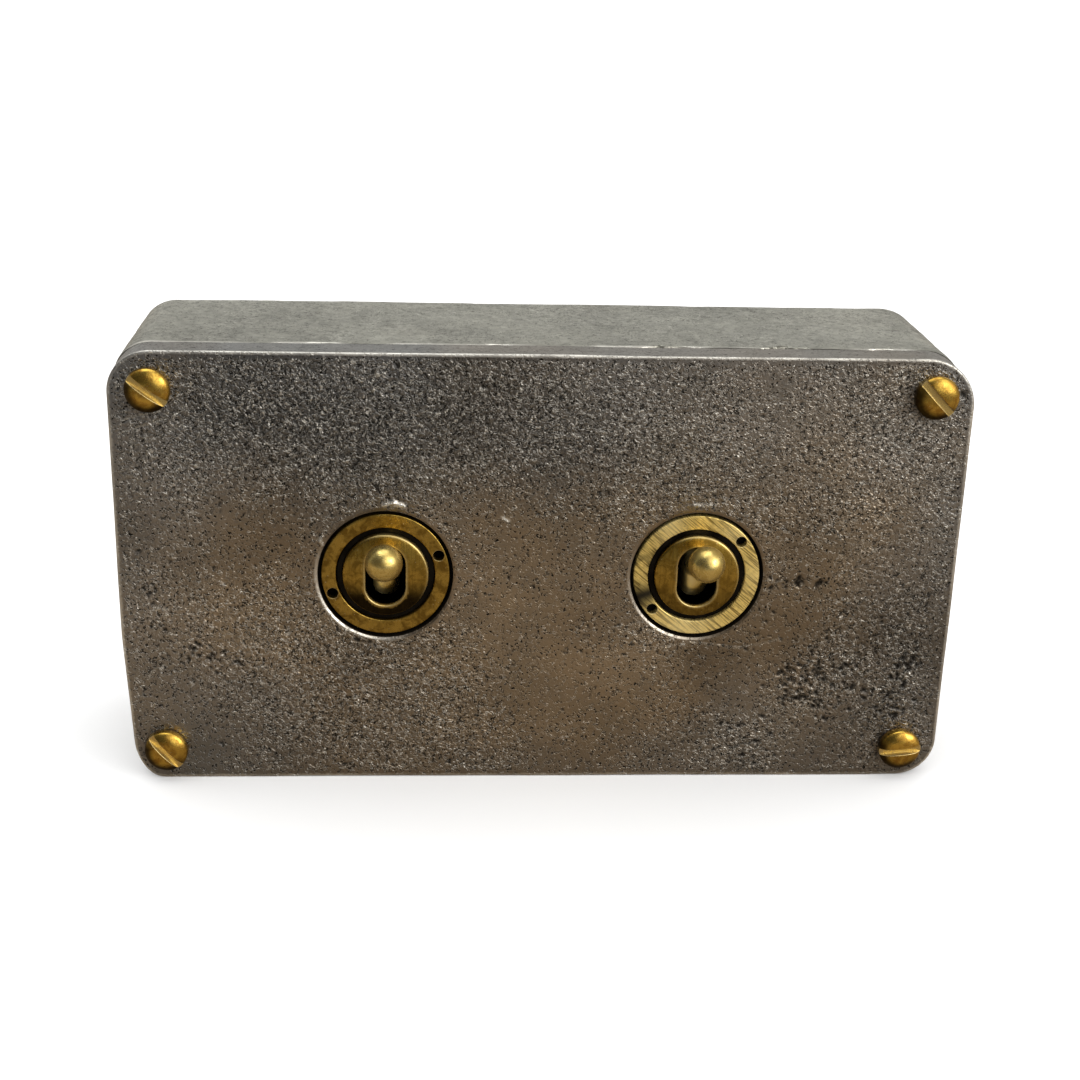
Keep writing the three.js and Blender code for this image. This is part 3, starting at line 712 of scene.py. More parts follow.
# ---- Front plate ----
PLATE_RADII = (7.2, 8.6, 7.4, 6.8)  # as CORNERS; the casting's corners aren't alike
GROWTH = (0.6, 0.4)  # the castings are a little larger than their nominal width and height
LEAN = 1.5  # how far their left side leans in at the foot
LEAN_FROM, LEAN_REACH = 68.0, 4.9  # how far left of the middle it starts, and its width
LEAN_DOWN = (8, 42)  # how far below the middle it starts, and where it is full
EDGE = 0.4  # rounding of the plate's front edge
LIP = 0.36  # width of the chamfer round each switch hole
HOLE_R = 11.75
LEDGE = 3.4  # depth of the recess round the ring nut
BUSH_HOLE_R = 8.75
SCREW_HOLE_R = 2.3


def casting_outline(radii, spacing):
    """The castings' outline, larger at the sides and the top and level with the floor."""
    size = (WIDTH + GROWTH[0], HEIGHT + GROWTH[1])
    return Outline(*size, radii, spacing, (0, GROWTH[1] / 2))


def lean(mesh):
    """Draws in the left side's lower half, where the castings are narrower."""
    points = coordinates(mesh)
    near_side = np.clip((-points[:, 0] - LEAN_FROM) / LEAN_REACH, 0, 1)
    points[:, 0] += LEAN * near_side * smooth_step(-points[:, 2], *LEAN_DOWN)
    move_to(mesh, points)


def above_floor(height, normals):
    """The height, without lumps on the underside that would reach into the floor."""
    return np.where(normals[:, 2] < -0.5, np.minimum(height, 0), height)


def plate_relief(points, normals):
    """Height of the plate's hollows and lumps in mm, roughness, grime and painted shade, and bare
    metal and painted highlights.
    """
    front = smooth_step(-normals[:, 1], 0.3, 0.9)
    outline = casting_outline(PLATE_RADII, FINE)
    from_edge = -outline.distance(points[:, [0, 2]])
    field = smooth_step(from_edge, 0.5, 1.7) * front
    from_hole = np.full(len(points), 99.0)
    lip_highlight = np.zeros(len(points))
    for side, x in SWITCH_X.items():
        across, up = points[:, 0] - x, points[:, 2]
        near = np.abs(np.hypot(across, up) - HOLE_R - LIP / 2)
        from_hole = np.minimum(from_hole, near)
        # painted highlight on each hole's chamfer, strongest towards the lower left and fainter
        # on the right hole
        turn = np.arctan2(up, across) - math.radians(-140)
        facing = smooth_step(np.cos(turn), 0.2, 0.9) * (0.85 if side == "left" else 0.35)
        lip_highlight = np.where(near < LIP, facing, lip_highlight)
    inner = smooth_step(from_hole, 0.6 * LIP, 0.75)
    rough = np.clip(rough_share(points, 0.42) * inner * field, 0, 1)
    rough = np.maximum(rough, 0.045 * (from_edge < 1.7))
    worms = grain(points, rough) * inner * field
    share, depth = pits(points, 21)
    scratch, bare_and_highlight = scratched(points)
    waves = 0.1 * noise(points, 17, 1) + 0.05 * noise(points, 6, 2)
    waves += 0.03 * noise(points, 2.2, 4) * (0.3 + rough) * field
    height = waves - 0.06 - 0.07 * worms - (depth * inner + scratch) * field
    recess = (points[:, 1] > PLATE_FRONT + 0.28) & (from_edge > 8)
    # darker in the worm hollows and the pits: grime, and painted shade in them
    grime_and_shade = np.maximum(0.3 * worms, share * field * inner)
    # near white along the rounded front edge: rubbed metal, and a painted highlight along it
    edge_wear_and_highlight = smooth_step(1 - np.abs(from_edge - 0.2) / 0.4, 0, 0.5)
    edge_wear_and_highlight *= (points[:, 1] < PLATE_FRONT + 0.5) * (0.6 + 0.3 * noise(points, 5, 44))
    # the chamfer's painted highlight, on its front part only
    lip = lip_highlight * (points[:, 1] < PLATE_FRONT + 0.26)
    bare_and_highlight = np.maximum(np.maximum(bare_and_highlight * (from_edge > 0.5), 0.9 * edge_wear_and_highlight), lip)
    # painted shade: everything more than 0.28 mm behind the front and away from the outer edge,
    # as the hole walls, ledges and back, is painted near black
    grime_and_shade = np.maximum(grime_and_shade, recess * 0.97)
    height = np.where(recess, 0, above_floor(height, normals))
    return height, rough, grime_and_shade, np.where(recess, 0, bare_and_highlight)


def make_plate():
    skin = Skin()
    outline = casting_outline(PLATE_RADII, FINE)
    rear = 0.3
    side = np.arange(PLATE_FRONT + EDGE, PLATE_BACK - rear, FINE)[1:]
    steps = corner_steps(EDGE, 0, PLATE_FRONT) + [(0, y) for y in side]
    steps += [(0, PLATE_BACK - rear), (-rear, PLATE_BACK)]
    front, back = [], []
    skin.pierce(outline, steps, front, back)
    for x in SWITCH_X.values():
        hole = circle(HOLE_R, FINE, (x, 0))
        inner = BUSH_HOLE_R - HOLE_R
        lip = [(LIP + 0.06, PLATE_FRONT), (LIP, PLATE_FRONT + 0.02)]
        lip += [(0.05, PLATE_FRONT + 0.24), (0, PLATE_FRONT + 0.3)]
        floor = PLATE_FRONT + LEDGE
        steps = lip + [(0, floor - 0.8), (0, floor), (inner, floor), (inner, PLATE_BACK)]
        skin.pierce(hole, steps, front, back)
    for corner in CORNERS:
        low, high = box_mm(f"plate_screw_{corner}")
        middle = (low + high) / 2
        hole = circle(SCREW_HOLE_R, FINE, (middle[0], middle[2]))
        skin.pierce(hole, [(0, PLATE_FRONT), (0, PLATE_BACK)], front, back)
    skin.sheet(front, FINE, PLATE_FRONT)
    skin.sheet(back, 3, PLATE_BACK)
    mesh = closed_mesh("plate_casting", skin)
    points, rough, grime_and_shade, bare_and_highlight = roughen(mesh, plate_relief)
    paint_casting(mesh, points, rough, 0.2, grime_and_shade, bare_and_highlight)
    # painted light and shade on the front from the listed patches; on the sides and top a little
    # lighter, with streaks of file marks
    light = patches(points, PAINTED_LIGHT, 0.9) + 0.1 * noise(points, 9, 51)
    streaks = noise(points / (9, 1, 9), 0.45, 55) + 0.5 * noise(points, 4, 56)
    light = np.where(points[:, 1] > PLATE_FRONT + EDGE, 1.05 + 0.16 * streaks, light)
    paint(mesh, "light", light)
    lean(mesh)
    piece("plate_casting", mesh, materials["plate"], "case", "cast_metal", "front_plate")


# ---- Back box ----
WALL = 4
REAR_EDGE = 1.5
ENTRY_R = 10
GROMMET_SEAT_R = 12
GROMMET_SEAT = 1.5
ENTRY_Z = 19
FIXING_X = 54
# x, half-length and depth of the slits where the castings don't quite meet along the top
SLITS = ((20.9, 5.2, 0.9), (41.2, 4.7, 0.9), (-8, 2.6, 0.35), (-38, 4, 0.3), (58, 2.6, 0.5))
BOX_RADII = (7.4, 7.9, 6.8, 6.8)  # at the front, as CORNERS
REAR_RADII = (7.4, 8.0, 6.8, 6.8)  # at the rear


def rim_depth(flat):
    """Depth of the box's front rim, which gapes a little in places."""
    gap = np.zeros(len(flat))
    for x, reach, depth in SLITS:
        near = smooth_step(1 - np.abs(flat[:, 0] - x) / reach, 0, 0.8)
        gap = np.maximum(gap, depth * near * (flat[:, 1] > 0))
    ragged = noise(np.column_stack([flat, 0 * gap]), 1.3, 17)
    return BOX_LOW[1] + gap * (0.85 + 0.3 * ragged)


def box_relief(points, normals):
    """Height of the box's hollows and lumps in mm, roughness, grime and painted shade, and
    painted highlights.
    """
    outside = (
        (np.abs(points[:, 0]) > WIDTH / 2 - 2.5)
        | (np.abs(points[:, 2]) > HEIGHT / 2 - 2.5)
        | (points[:, 1] > -0.5)
    )
    from_rim = points[:, 1] - BOX_LOW[1]
    rough = np.clip(0.42 + 0.3 * noise(points, 9, 14) + 0.2 * noise(points, 3, 15), 0.03, 1)
    rough *= smooth_step(from_rim, 0.3, 2.0)
    worms = grain(points + 50, rough)
    waves = 0.1 * noise(points, 15, 11) + 0.06 * noise(points, 5, 12)
    height = waves + 0.03 * noise(points, 1.8, 13) - 0.1 - 0.05 * worms
    groove = 1 - smooth_step(from_rim, 0.2, 0.8)
    # darker in the worm hollows: grime, and painted shade in them; the rim's face against the
    # plate is painted near black as the shade in the gaps
    grime_and_shade = np.maximum(0.35 * worms, np.where(from_rim < 0.12, 0.95, 0.0))
    # painted highlight: a broken bright line along the rounding of the box's front rim
    shine = smooth_step(1 - np.abs(from_rim - 0.32) / 0.4, 0, 0.5)
    shine *= 0.8 * smooth_step(noise(points, 6, 45), -0.35, 0.2)
    height = np.where(outside, above_floor(height - 0.1 * groove, normals), 0)
    # inside the box the colour is a little darker all over
    return height, rough, np.where(outside, grime_and_shade, 0.2), np.where(outside, shine, 0)


def tucked(points, outline):
    """The points with the corners drawn in towards the rear, to the rear radii."""
    flat = points[:, [0, 2]]
    rounder = casting_outline(REAR_RADII, 1.0)
    over = np.maximum(rounder.distance(flat) - outline.distance(flat), 0)
    share = np.clip(1 - points[:, 1] / BOX_LOW[1], 0, 1)
    moved = points.copy()
    moved[:, [0, 2]] -= np.sign(flat) * (over * share / math.sqrt(2))[:, None]
    return moved


def make_box():
    skin = Skin()
    spacing = FINE * 1.6
    outline = casting_outline(BOX_RADII, spacing)
    front = BOX_LOW[1]
    side = np.arange(front + 0.35, -REAR_EDGE, spacing)[1:]
    rear_curve = [(o, -y) for o, y in corner_steps(REAR_EDGE, 0, 0)][::-1]
    steps = [(-WALL, front), (-0.35, rim_depth), (-0.1, lambda f: rim_depth(f) + 0.1)]
    steps += [(0, lambda f: rim_depth(f) + 0.35)] + [(0, y) for y in side if y > front + 0.8]
    steps += rear_curve
    rings = skin.wall(outline, steps)
    inner_rear = -WALL
    walls = skin.wall(outline, [(-WALL, front), (-WALL, inner_rear)])
    outer_edges = [(outline, steps[-1][0], rings[-1])]
    inner_edges = [(outline, -WALL, walls[-1])]
    for z in (ENTRY_Z, -ENTRY_Z):
        entry = circle(GROMMET_SEAT_R, 0.8, (0, z))
        drop = ENTRY_R - GROMMET_SEAT_R
        steps = [(0, 0), (0, -GROMMET_SEAT), (drop, -GROMMET_SEAT), (drop, inner_rear)]
        skin.pierce(entry, steps, outer_edges, inner_edges)
    for x, (width, height) in ((-FIXING_X, (5, 10)), (FIXING_X, (10, 5))):
        slot = Outline(width, height, 2.499, 0.6, (x, 0))
        skin.pierce(slot, [(0, 0), (0, inner_rear)], outer_edges, inner_edges)
    skin.sheet(outer_edges, spacing * 1.5, 0)
    skin.sheet(inner_edges, 3, inner_rear)
    for corner in CORNERS:
        low, high = box_mm(f"plate_screw_{corner}")
        x, _, z = (low + high) / 2
        tube = [(2.15, front + 13), (2.15, front + 0.02), (4.2, front + 0.02), (4.2, -WALL + 0.5)]
        skin.turned([(0, front + 13), *tube, (0, -WALL + 0.5)], 48, centre=(x, 0, z))
    pad = [(0, -WALL + 0.5), (6, -WALL + 0.5), (6, -WALL - 1.5), (0, -WALL - 1.5)]
    skin.turned(pad, 48)
    skin.points = tucked(skin.points, outline)
    mesh = closed_mesh("box_casting", skin)
    points, rough, grime_and_shade, bare_and_highlight = roughen(mesh, box_relief)
    paint_casting(mesh, points, rough, 0.1, grime_and_shade, bare_and_highlight)
    # the box's tone wanders at random, and it is lighter over the last 3 mm towards the rear
    light = 1 + 0.17 * noise(points, 14, 52) + 0.1 * noise(points, 4, 53)
    light += 0.22 * noise(points, 0.9, 54) + 0.3 * smooth_step(points[:, 1], -3.0, -0.8)
    paint(mesh, "light", light)
    lean(mesh)
    piece("box_casting", mesh, materials["box"], "case", "cast_metal", "back_box")


# ---- Plate screws ----
HEAD_R = 3.8
HEAD_SIDE = 1.6
HEAD_DOME = 1.2
SLOT_WIDTH = 1.15
SLOT_DEPTH = 1.25
SCREW_ANGLES = {"top_left": -36, "top_right": -46, "bottom_left": -48, "bottom_right": 6}


def head_surface(flat):
    """Depth of the domed head below its crown, with a rounded rim and a slot along x."""
    share = np.minimum(np.hypot(flat[:, 0], flat[:, 1]) / HEAD_R, 1)
    top = (HEAD_DOME + 0.3) * (1 - (1 - share**2.4) ** 0.55)
    away = np.abs(flat[:, 1]) - SLOT_WIDTH / 2
    burr = 0.12
    near = np.clip(1 - away / burr, 0, 1)
    top = top + burr * 0.7 * (1 - np.sqrt(1 - near**2)) * (away >= 0)
    return np.where(away < -1e-4, SLOT_DEPTH, top)


def make_screw(corner):
    low, high = box_mm(f"plate_screw_{corner}")
    middle = (low + high) / 2
    skin = Skin()
    head = circle(HEAD_R, 0.12)
    half = SLOT_WIDTH / 2
    # points of the rim that lie nearest the slot's edges move onto them
    for line in (half, half - 0.02, -half, 0.02 - half):
        for sign in (1, -1):
            goal = np.array([sign * math.sqrt(HEAD_R**2 - line**2), line])
            index = np.argmin(np.linalg.norm(head.points - goal, axis=1))
            head.points[index] = goal
            head.normals[index] = goal / HEAD_R
    crown = -HEAD_SIDE - HEAD_DOME - 0.01

    def top(flat):
        return crown + head_surface(flat)

    rings = skin.wall(head, [(0, top), (0, -0.3), (-0.15, -0.05)])
    run = np.arange(-HEAD_R + 0.1, HEAD_R - 0.05, 0.1)
    lines = []
    for offset in (half, half + 0.03, half + 0.07, half + 0.12, half - 0.02):
        for sign in (1, -1):
            long = run[np.hypot(run, offset) < HEAD_R - 0.05]
            lines.append(np.column_stack([long, np.full(len(long), sign * offset)]))
    for inset in (0.02, 0.07, 0.14, 0.24, 0.36):
        angles = np.linspace(0, 2 * math.pi, 180, endpoint=False)
        around = (HEAD_R - inset) * np.column_stack([np.cos(angles), np.sin(angles)])
        lines.append(around[np.abs(np.abs(around[:, 1]) - half) > 0.06])
    skin.sheet([(head, 0, rings[0])], 0.16, top, extra=np.vstack(lines))
    thread = []
    pitch, core, crest = 0.7, 1.6, 1.95
    for turn in range(int((high[1] - PLATE_FRONT - 2) / pitch)):
        start = 1.2 + turn * pitch
        thread += [(core, start), (crest, start + 0.25)]
        thread += [(crest, start + 0.4), (core, start + 0.65)]
    tip = high[1] - PLATE_FRONT
    point = [(core, tip - 0.4), (core - 0.5, tip), (0, tip)]
    shank = [(crest, -0.05), (crest, 1.0), *thread, *point]
    skin.turned(shank, 48)
    skin.turned([(HEAD_R - 0.15, -0.05), (crest, -0.05)], len(head.points))
    mesh = closed_mesh(f"screw_{corner}", skin)
    x, y, z = coordinates(mesh).T
    radius = np.hypot(x, z)
    turned = math.radians(SCREW_ANGLES[corner])
    across = x * math.cos(turned) - z * math.sin(turned)
    up = x * math.sin(turned) + z * math.cos(turned)
    on_head = (y < 0) & (radius < HEAD_R + 0.05)
    wall = on_head & (np.abs(z + half) < 0.05)
    floor = on_head & (np.abs(z) < half - 0.05)
    # painted shade on the head's lower-left rim
    rim = smooth_step(radius, 1.7, 3.2) * smooth_step(-up - 0.6 * across, -1.8, 1.4)
    upper = on_head & (np.abs(z - half) < 0.05)
    # painted highlight on the slot's lower wall and its floor; painted shade on the upper wall
    paint(mesh, "bare_and_highlight", np.where(wall, 0.9, np.where(floor, 0.4, 0)))
    paint(mesh, "painted_shade", np.where(upper, 0.6, np.where(wall | floor | ~on_head, 0, 0.93 * rim)))
    turn = Matrix.Rotation(-turned, 4, "Y")
    shift = Matrix.Translation(Vector((middle[0], PLATE_FRONT - 0.04, middle[2])) * MM)
    mesh.transform(shift @ turn)
    node = f"plate_screw_{corner}"
    piece(f"screw_{corner}", mesh, materials["screw"], "case", "bright_brass", node, sharp=50)


# ---- Ring nut and insert ----
RING_BORE_R = 8.6
SPANNER_R = 0.95
SPANNER_ANGLES = {"left": 21, "right": 40}
INSERT_R = 7.5
INSERT_RISE = 0.9
INSERT_WALL = 1.0
SLOT_WIDE, SLOT_LONG = 7, 11
# painted highlights on the right ring: degrees from 9 o'clock, clockwise, reach and amount
RING_HIGHLIGHTS = ((60, 14, 0.6), (128, 16, 0.4), (-80, 32, 0.6), (180, 20, 0.3))


def make_nut(side):
    low, high = box_mm(f"ring_nut_{side}")
    x, outer_r = (low[0] + high[0]) / 2, (high[0] - low[0]) / 2
    front, rear = low[1], high[1]
    skin = Skin()
    edge = 0.22
    outer = circle(outer_r, 0.35, (x, 0))
    bore = circle(RING_BORE_R, 0.3, (x, 0))
    faces, backs = [], []
    for outline, sign in ((outer, 1), (bore, -1)):
        steps = [(sign * o, y) for o, y in corner_steps(edge, 0, front, 3)] + [(0, rear)]
        skin.pierce(outline, steps, faces, backs)
    middle = (outer_r + RING_BORE_R) / 2
    for turn in (0, 180):
        angle = math.radians(SPANNER_ANGLES[side] + turn)
        centre = (x + middle * math.cos(angle), middle * math.sin(angle))
        hole = circle(SPANNER_R, 0.15, centre)
        bottom = front + 1.8
        end = []
        skin.pierce(hole, [(0.08, front), (0, front + 0.1), (0, bottom)], faces, end)
        skin.sheet(end, 0.4, bottom)
    skin.sheet(faces, 0.4, front)
    skin.sheet(backs, 1.5, rear)
    mesh = closed_mesh(f"nut_{side}", skin)
    points = coordinates(mesh)
    # painted shade: the bore, the spanner holes and the back, behind the front face, are painted
    # dark
    painted_shade_share = smooth_step(points[:, 1], front + 0.25, front + 0.5)
    bare_and_highlight = np.zeros(len(points))
    if side == "right":
        turn = np.degrees(np.arctan2(points[:, 2], x - points[:, 0]))  # from 9 o'clock, clockwise
        # painted dark reflections on the right ring, at about 8, half past 9 and 12 o'clock
        painted_shade_share = np.maximum(painted_shade_share, np.exp(-(((turn + 22) / 13) ** 2)))
        dark_reflection = np.exp(-(((turn - 15) / 24) ** 2)) + 0.6 * np.exp(-(((turn - 95) / 16) ** 2))
        painted_shade_share = np.maximum(painted_shade_share, 0.6 * dark_reflection * smooth_step(noise(points, 1.1, 61), -0.1, 0.5))
        # painted highlights at the listed places on the right ring
        for middle, reach, amount in RING_HIGHLIGHTS:
            away = np.abs((turn - middle + 180) % 360 - 180) / reach
            bare_and_highlight = np.maximum(bare_and_highlight, amount * np.exp(-(away**2)))
        bare_and_highlight *= 0.75 + 0.25 * noise(points, 1.3, 62)
    paint(mesh, "painted_shade", painted_shade_share)
    paint(mesh, "bare_and_highlight", np.where(points[:, 1] < front + 0.3, bare_and_highlight, 0))
    node = f"ring_nut_{side}"
    piece(f"nut_{side}", mesh, materials[f"nut_{side}"], "case", "antique_brass", node)


def make_insert(side):
    low, high = box_mm(f"dolly_escutcheon_{side}")
    x = (low[0] + high[0]) / 2
    rim = PLATE_FRONT
    sphere = (INSERT_R**2 + INSERT_RISE**2) / (2 * INSERT_RISE)

    def crown(flat, below=0.0):
        away = np.hypot(flat[:, 0] - x, flat[:, 1])
        return rim - INSERT_RISE + sphere - np.sqrt(sphere**2 - away**2) + below

    skin = Skin()
    outer = circle(INSERT_R, 0.25, (x, 0))
    slot = Outline(SLOT_WIDE, SLOT_LONG, SLOT_WIDE / 2 - 1e-3, 0.25, (x, 0))
    edge = 0.36
    lifts = corner_steps(edge, 0, 0.0, 4)
    steps = [(outset, lambda flat, d=drop: crown(flat, d)) for outset, drop in lifts]
    steps += [(0, high[1]), (-INSERT_WALL, high[1])]
    steps += [(-INSERT_WALL, lambda flat: crown(flat, INSERT_WALL))]
    tops, unders = [], []
    skin.pierce(outer, steps, tops, unders)
    lip = 0.34
    lifts = [(-outset, drop) for outset, drop in corner_steps(lip, 0, 0.0, 5)]
    lifts.append((0, INSERT_WALL))
    steps = [(outset, lambda flat, d=drop: crown(flat, d)) for outset, drop in lifts]
    skin.pierce(slot, steps, tops, unders)
    skin.sheet(tops, 0.3, crown)
    skin.sheet(unders, 0.6, lambda flat: crown(flat, INSERT_WALL))
    mesh = closed_mesh(f"insert_{side}", skin)
    points = coordinates(mesh)
    away = np.hypot(points[:, 0] - x, points[:, 2])
    below = points[:, 1] - crown(points[:, [0, 2]])
    # painted shade: the underside of the shell is painted near black
    inside = (below > 0.97 * INSERT_WALL) & (away < INSERT_R - 0.02)
    from_slot = slot.distance(points[:, [0, 2]])
    # painted dark reflection on the lower part of the crown, strong on the left switch
    low_down = smooth_step(-points[:, 2], 0.0, 4.5) * (0.95 if side == "left" else 0.4)
    low_down *= smooth_step(from_slot, lip, lip + 0.2) * smooth_step(INSERT_R - away, 0.0, 0.2)
    paint(mesh, "painted_shade", np.maximum(np.where(inside, 0.97, 0), low_down))
    # painted highlights: a bright band round the slot's lip, and along the rim towards the upper
    # right
    bare_and_highlight = 0.6 * (1 - smooth_step(from_slot, 0.1, lip + 0.1)) * (below < 0.9)
    to_light = smooth_step(points[:, 0] - x + points[:, 2], 0, 7) * smooth_step(away, 7.1, 7.3)
    paint(mesh, "bare_and_highlight", np.maximum(bare_and_highlight, 0.45 * to_light * (below < 0.45)))
    node = f"dolly_escutcheon_{side}"
    piece(f"insert_{side}", mesh, materials["insert"], "case", "antique_brass", node)


# ---- Dolly ----
SWING = 21
BALL_R = 3.15
BALL_AT = 16.7
HUB_R, HUB_WIDTH = 5.5, 5
TAIL_R, TAIL_LENGTH = 2.4, 10.8
TAIL_BORE_R, TAIL_BORE_FROM = 1.65, 3.5
PIN_HOLE_R = 1.05
PIVOT_Y = PLATE_FRONT + 6


def joined(first, second, operation):
    """Gives the first object the mesh of a boolean with the second, which is removed."""
    change = first.modifiers.new("join", "BOOLEAN")
    change.operation, change.object, change.solver = operation, second, "EXACT"
    evaluated = first.evaluated_get(bpy.context.evaluated_depsgraph_get())
    result = bpy.data.meshes.new_from_object(evaluated)
    first.modifiers.clear()
    first.data = result
    bpy.data.objects.remove(second)


def lever_place(side):
    """From upright about the pin, along y, to the lever's place with the switch up."""
    shift = Matrix.Translation(Vector((SWITCH_X[side], PIVOT_Y, 0)) * MM)
    return shift @ Matrix.Rotation(-math.radians(SWING), 4, "X")


def make_dolly(side):
    neck_half_angle = math.asin(1.95 / BALL_R)
    angles = np.linspace(0, math.pi - neck_half_angle, 30)
    ball = [(BALL_R * math.sin(a), -BALL_AT - BALL_R * math.cos(a)) for a in angles]
    neck = [(1.78, -13.9), (1.7, -13.2), (1.7, -10.5), (1.9, -8), (2.3, -5), (TAIL_R, 0)]
    tail = [(TAIL_R, TAIL_LENGTH - 0.2), (TAIL_R - 0.2, TAIL_LENGTH)]
    bore = [(TAIL_BORE_R, TAIL_LENGTH), (TAIL_BORE_R, TAIL_BORE_FROM), (0, TAIL_BORE_FROM - 0.4)]
    lever = Skin()
    lever.turned([*ball, *neck, *tail, *bore], 96)
    edge, half = 1.9, HUB_WIDTH / 2 - 0.2
    curve = [
        (HUB_R - edge + edge * math.sin(a), -half * math.cos(a))
        for a in np.linspace(0, math.pi / 2, 18)
    ]
    profile = [(0, -half), *curve, *[(r, -a) for r, a in curve[-2::-1]], (0, half)]
    hub = Skin()
    hub.turned(profile, 128, axis="x")
    pin = Skin()
    pin.turned([(0, -9), (PIN_HOLE_R, -9), (PIN_HOLE_R, 9), (0, 9)], 40, axis="x")
    bored = Skin()
    radii, ends = (0, TAIL_BORE_R, TAIL_BORE_R, 0), (TAIL_BORE_FROM, HUB_R + 1)
    bored.turned(list(zip(radii, np.repeat(ends, 2))), 96)
    body = link(f"lever_{side}", closed_mesh(f"lever_{side}", lever))
    joined(body, link("hub", closed_mesh("hub", hub)), "UNION")
    joined(body, link("bore", closed_mesh("bore", bored)), "DIFFERENCE")
    joined(body, link("pin", closed_mesh("pin", pin)), "DIFFERENCE")
    mesh = body.data
    bpy.data.objects.remove(body)
    points = coordinates(mesh)
    # painted highlight on the left side of the hub
    on_hub = 1 - smooth_step(np.linalg.norm(points, axis=1), HUB_R, HUB_R + 1.0)
    paint(mesh, "bare_and_highlight", on_hub * np.exp(-(((points[:, 0] + 1.1) / 1.0) ** 2)))
    mesh.transform(lever_place(side))
    node = f"dolly_{side}"
    piece(f"lever_{side}", mesh, materials["lever"], f"dolly_{side}", "antique_brass", node)


# ---- Detent springs, which the plungers press on, each coiled at one fixed length ----
WIRE_R = 0.2
COIL_R, COIL_TURNS = 1.2, 5
COIL_FROM, COIL_TO = TAIL_BORE_FROM + 0.3, 7.3
COIL_FLAT = 0.1  # share of the wire that lies flat at each end


def make_spring(side):
    steps = 32 * COIL_TURNS
    section = np.linspace(0, 2 * math.pi, 14, endpoint=False)
    coil, previous = Skin(), None
    for share in np.linspace(0, 1, steps + 1):
        turn = 2 * math.pi * COIL_TURNS * share
        risen = min(max((share - COIL_FLAT) / (1 - 2 * COIL_FLAT), 0), 1)
        level = COIL_FROM + (COIL_TO - COIL_FROM) * risen
        radius = COIL_R + WIRE_R * np.cos(section)
        along = level + WIRE_R * np.sin(section)
        columns = [radius * math.cos(turn), along, radius * math.sin(turn)]
        ring = coil.add(np.column_stack(columns))
        if previous is None:
            coil.faces.append(tuple(int(i) for i in ring))
        else:
            coil.join(previous, ring)
        previous = ring
    coil.faces.append(tuple(int(i) for i in previous))
    mesh = closed_mesh(f"spring_{side}", coil)
    place = lever_place(side)
    mesh.transform(place)
    node = f"detent_spring_{side}"
    spring = piece(f"spring_{side}", mesh, materials["steel"], f"dolly_{side}", "steel", node)
    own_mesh(spring)


# ---- Grommets ----
def make_grommet(level):
    low, high = box_mm(f"cable_grommet_{level}")
    z = (low[2] + high[2]) / 2
    radius, front, rear = (high[0] - low[0]) / 2, low[1], high[1]
    bore, neck, inner = 7.0, 9.8, 10.8
    seat = -GROMMET_SEAT + 0.05
    round_r = 0.45
    profile = [
        (bore, front + round_r),
        (bore + round_r, front),
        (inner - round_r, front),
        (inner, front + round_r),
        (inner, -WALL - 0.05),
        (neck, -WALL - 0.05),
        (neck, seat),
        (radius, seat),
        (radius, rear - round_r),
        (radius - round_r * 0.3, rear - round_r * 0.3),
        (radius - round_r, rear),
        (bore + 1.2, rear),
        (bore + 0.5, rear - 0.25),
        (bore + 0.1, rear - 0.8),
        (bore, rear - 1.4),
    ]
    skin = Skin()
    skin.turned([*profile, profile[0]], 96, centre=(0, 0, z))
    mesh = closed_mesh(f"grommet_{level}", skin)
    node = f"cable_grommet_{level}"
    piece(f"grommet_{level}", mesh, materials["rubber"], "case", "rubber", node)


# ---- Finishes for the CAD nodes that stay ----
KEPT = {
    "threaded_bush": "black_metal",
    "switch_housing": "moulding",
    "terminal_base": "moulding",
    "terminal_common": "terminal",
    "terminal_upper": "terminal",
    "terminal_lower": "terminal",
    "terminal_screw": "steel",
    "earth_terminal": "terminal",
    "earth_screw": "terminal",
    "lock_washer": "steel",
    "housing_rivet": "steel",
    "pivot_pin": "black_metal",
    "plunger": "nylon",
    "rocker_contact": "contact",
}


def finish_cad_nodes():
    for name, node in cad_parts.items():
        for start, finish in KEPT.items():
            if name.startswith(start):
                node.data.materials.clear()
                node.data.materials.append(materials[finish])


# ---- Camera, floor and light ----
def make_camera():
    data = bpy.data.cameras.new("camera")
    data.lens = 58.2
    camera = link("camera", data)
    camera.location = (-0.01921, -0.32304, 0.11202)
    pan, tilt, roll = (math.radians(a) for a in (-3.774, -20.367, -1.59))
    turn = Matrix.Rotation(pan, 4, "Z") @ Matrix.Rotation(tilt, 4, "X")
    turn = turn @ Matrix.Rotation(roll, 4, "Y") @ Matrix.Rotation(math.pi / 2, 4, "X")
    camera.rotation_euler = turn.to_euler()
    bpy.context.scene.camera = camera


def make_floor():
    """A pale floor. In reflections it is the brown table that the real box stood on."""
    mesh = bpy.data.meshes.new("floor")
    reach, level = 4.0, BOX_LOW[2] * MM
    corners = [(-reach, -reach), (reach, -reach), (reach, reach), (-reach, reach)]
    mesh.from_pydata([(x, y, level) for x, y in corners], [], [(0, 1, 2, 3)])
    floor = link("floor", mesh)
    r = Recipe("floor", metallic=0.0, roughness=0.8)
    r.shader.inputs["Specular IOR Level"].default_value = 0.0
    reflected = r.node("ShaderNodeLightPath").outputs["Is Glossy Ray"]
    forward = r.node("ShaderNodeSeparateXYZ", {0: r.place}).outputs["Y"]
    table = r.mix(r.ramp(forward, -330.0, -120.0), (0.13, 0.125, 0.12), (0.24, 0.19, 0.135))
    pale = r.mix(r.ramp(r.noise(60), 0.3, 0.7), (0.9, 0.9, 0.9), (0.92, 0.92, 0.92))
    mesh.materials.append(r.finish(r.mix(reflected, pale, table)))


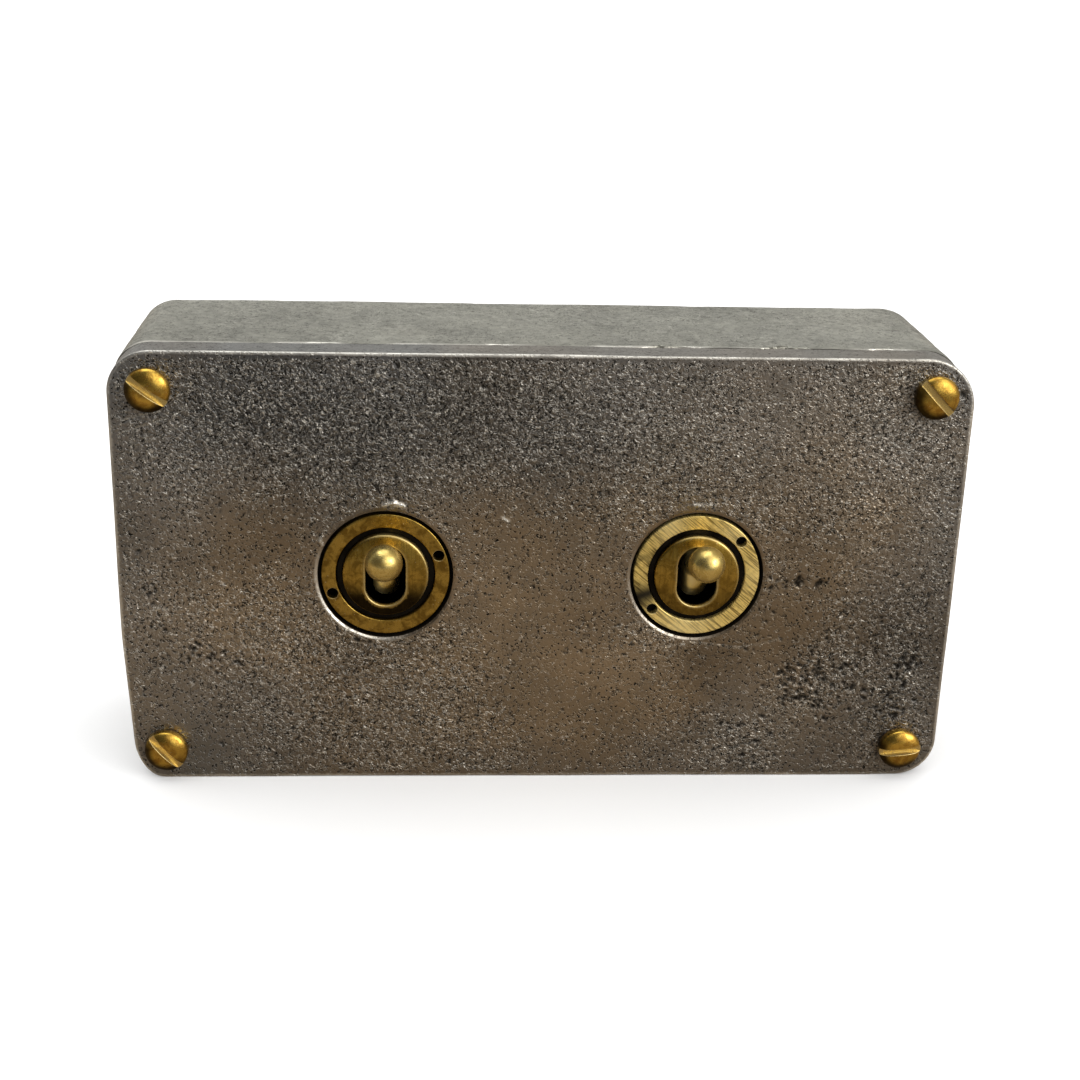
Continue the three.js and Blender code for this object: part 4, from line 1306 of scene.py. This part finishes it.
# bright windows of the room: direction, half-angles where full and where gone, colour
WINDOWS = (
    ((0.64, -0.6, 0.48), 18, 48, (1.6, 1.54, 1.43)),
    ((-0.05, 0.12, 0.99), 14, 34, (2.0, 2.0, 1.92)),
)


def make_world():
    """White to the camera and as fill. In reflections, a dim room, lighter behind and above."""
    world = bpy.data.worlds.new("studio")
    bpy.context.scene.world = world
    world.use_nodes = True
    world.node_tree.nodes.clear()
    w = Nodes(world.node_tree)
    add = w.node
    direction = add("ShaderNodeTexCoord").outputs["Generated"]
    parts = add("ShaderNodeSeparateXYZ", {0: direction}).outputs

    def along(axis, low, high):
        return w.ramp(parts[axis], low, high, smooth=False)

    room = w.mix(along("X", -0.5, 0.6), (0.05, 0.047, 0.045), (0.15, 0.14, 0.13))
    room = w.mix(along("Y", -0.2, 0.5), room, (0.5, 0.49, 0.46))
    room = w.mix(along("Z", 0.55, 0.95), room, (0.22, 0.22, 0.22))
    for towards, narrow, wide, color in WINDOWS:
        aim = Vector(towards).normalized()
        dot = add("ShaderNodeVectorMath", {0: direction, 1: aim}, operation="DOT_PRODUCT")
        gone, full = (math.cos(math.radians(angle)) for angle in (wide, narrow))
        room = w.mix(w.ramp(dot.outputs["Value"], gone, full), room, color)
    seen = add("ShaderNodeBackground", {"Color": room, "Strength": 1.0})
    white = add("ShaderNodeBackground", {"Color": (1, 1, 1, 1), "Strength": 1.5})
    reflected = add("ShaderNodeLightPath").outputs["Is Glossy Ray"]
    either = add("ShaderNodeMixShader", {0: reflected, 1: white.outputs[0], 2: seen.outputs[0]})
    add("ShaderNodeOutputWorld", {"Surface": either.outputs[0]})


def make_light(name, place, size, power, color=(1, 1, 1)):
    """A soft square light that faces the middle of the box."""
    data = bpy.data.lights.new(name, "AREA")
    data.shape, data.size, data.energy, data.color = "SQUARE", size, power, color
    light = link(name, data)
    light.location = place
    aim = Vector((0, -0.02, 0)) - Vector(place)
    light.rotation_euler = aim.to_track_quat("-Z", "Y").to_euler()


def make_stage():
    make_floor()
    make_world()
    make_light("window", (0.5, -0.46, 0.3), 0.3, 1.0, (1.0, 0.98, 0.94))
    bpy.context.scene.view_settings.view_transform = "Standard"


make_camera()
make_plate()
make_box()
for corner in CORNERS:
    make_screw(corner)
for side in SIDES:
    make_nut(side)
    make_insert(side)
    make_dolly(side)
    make_spring(side)
for level in ("upper", "lower"):
    make_grommet(level)
finish_cad_nodes()
make_stage()
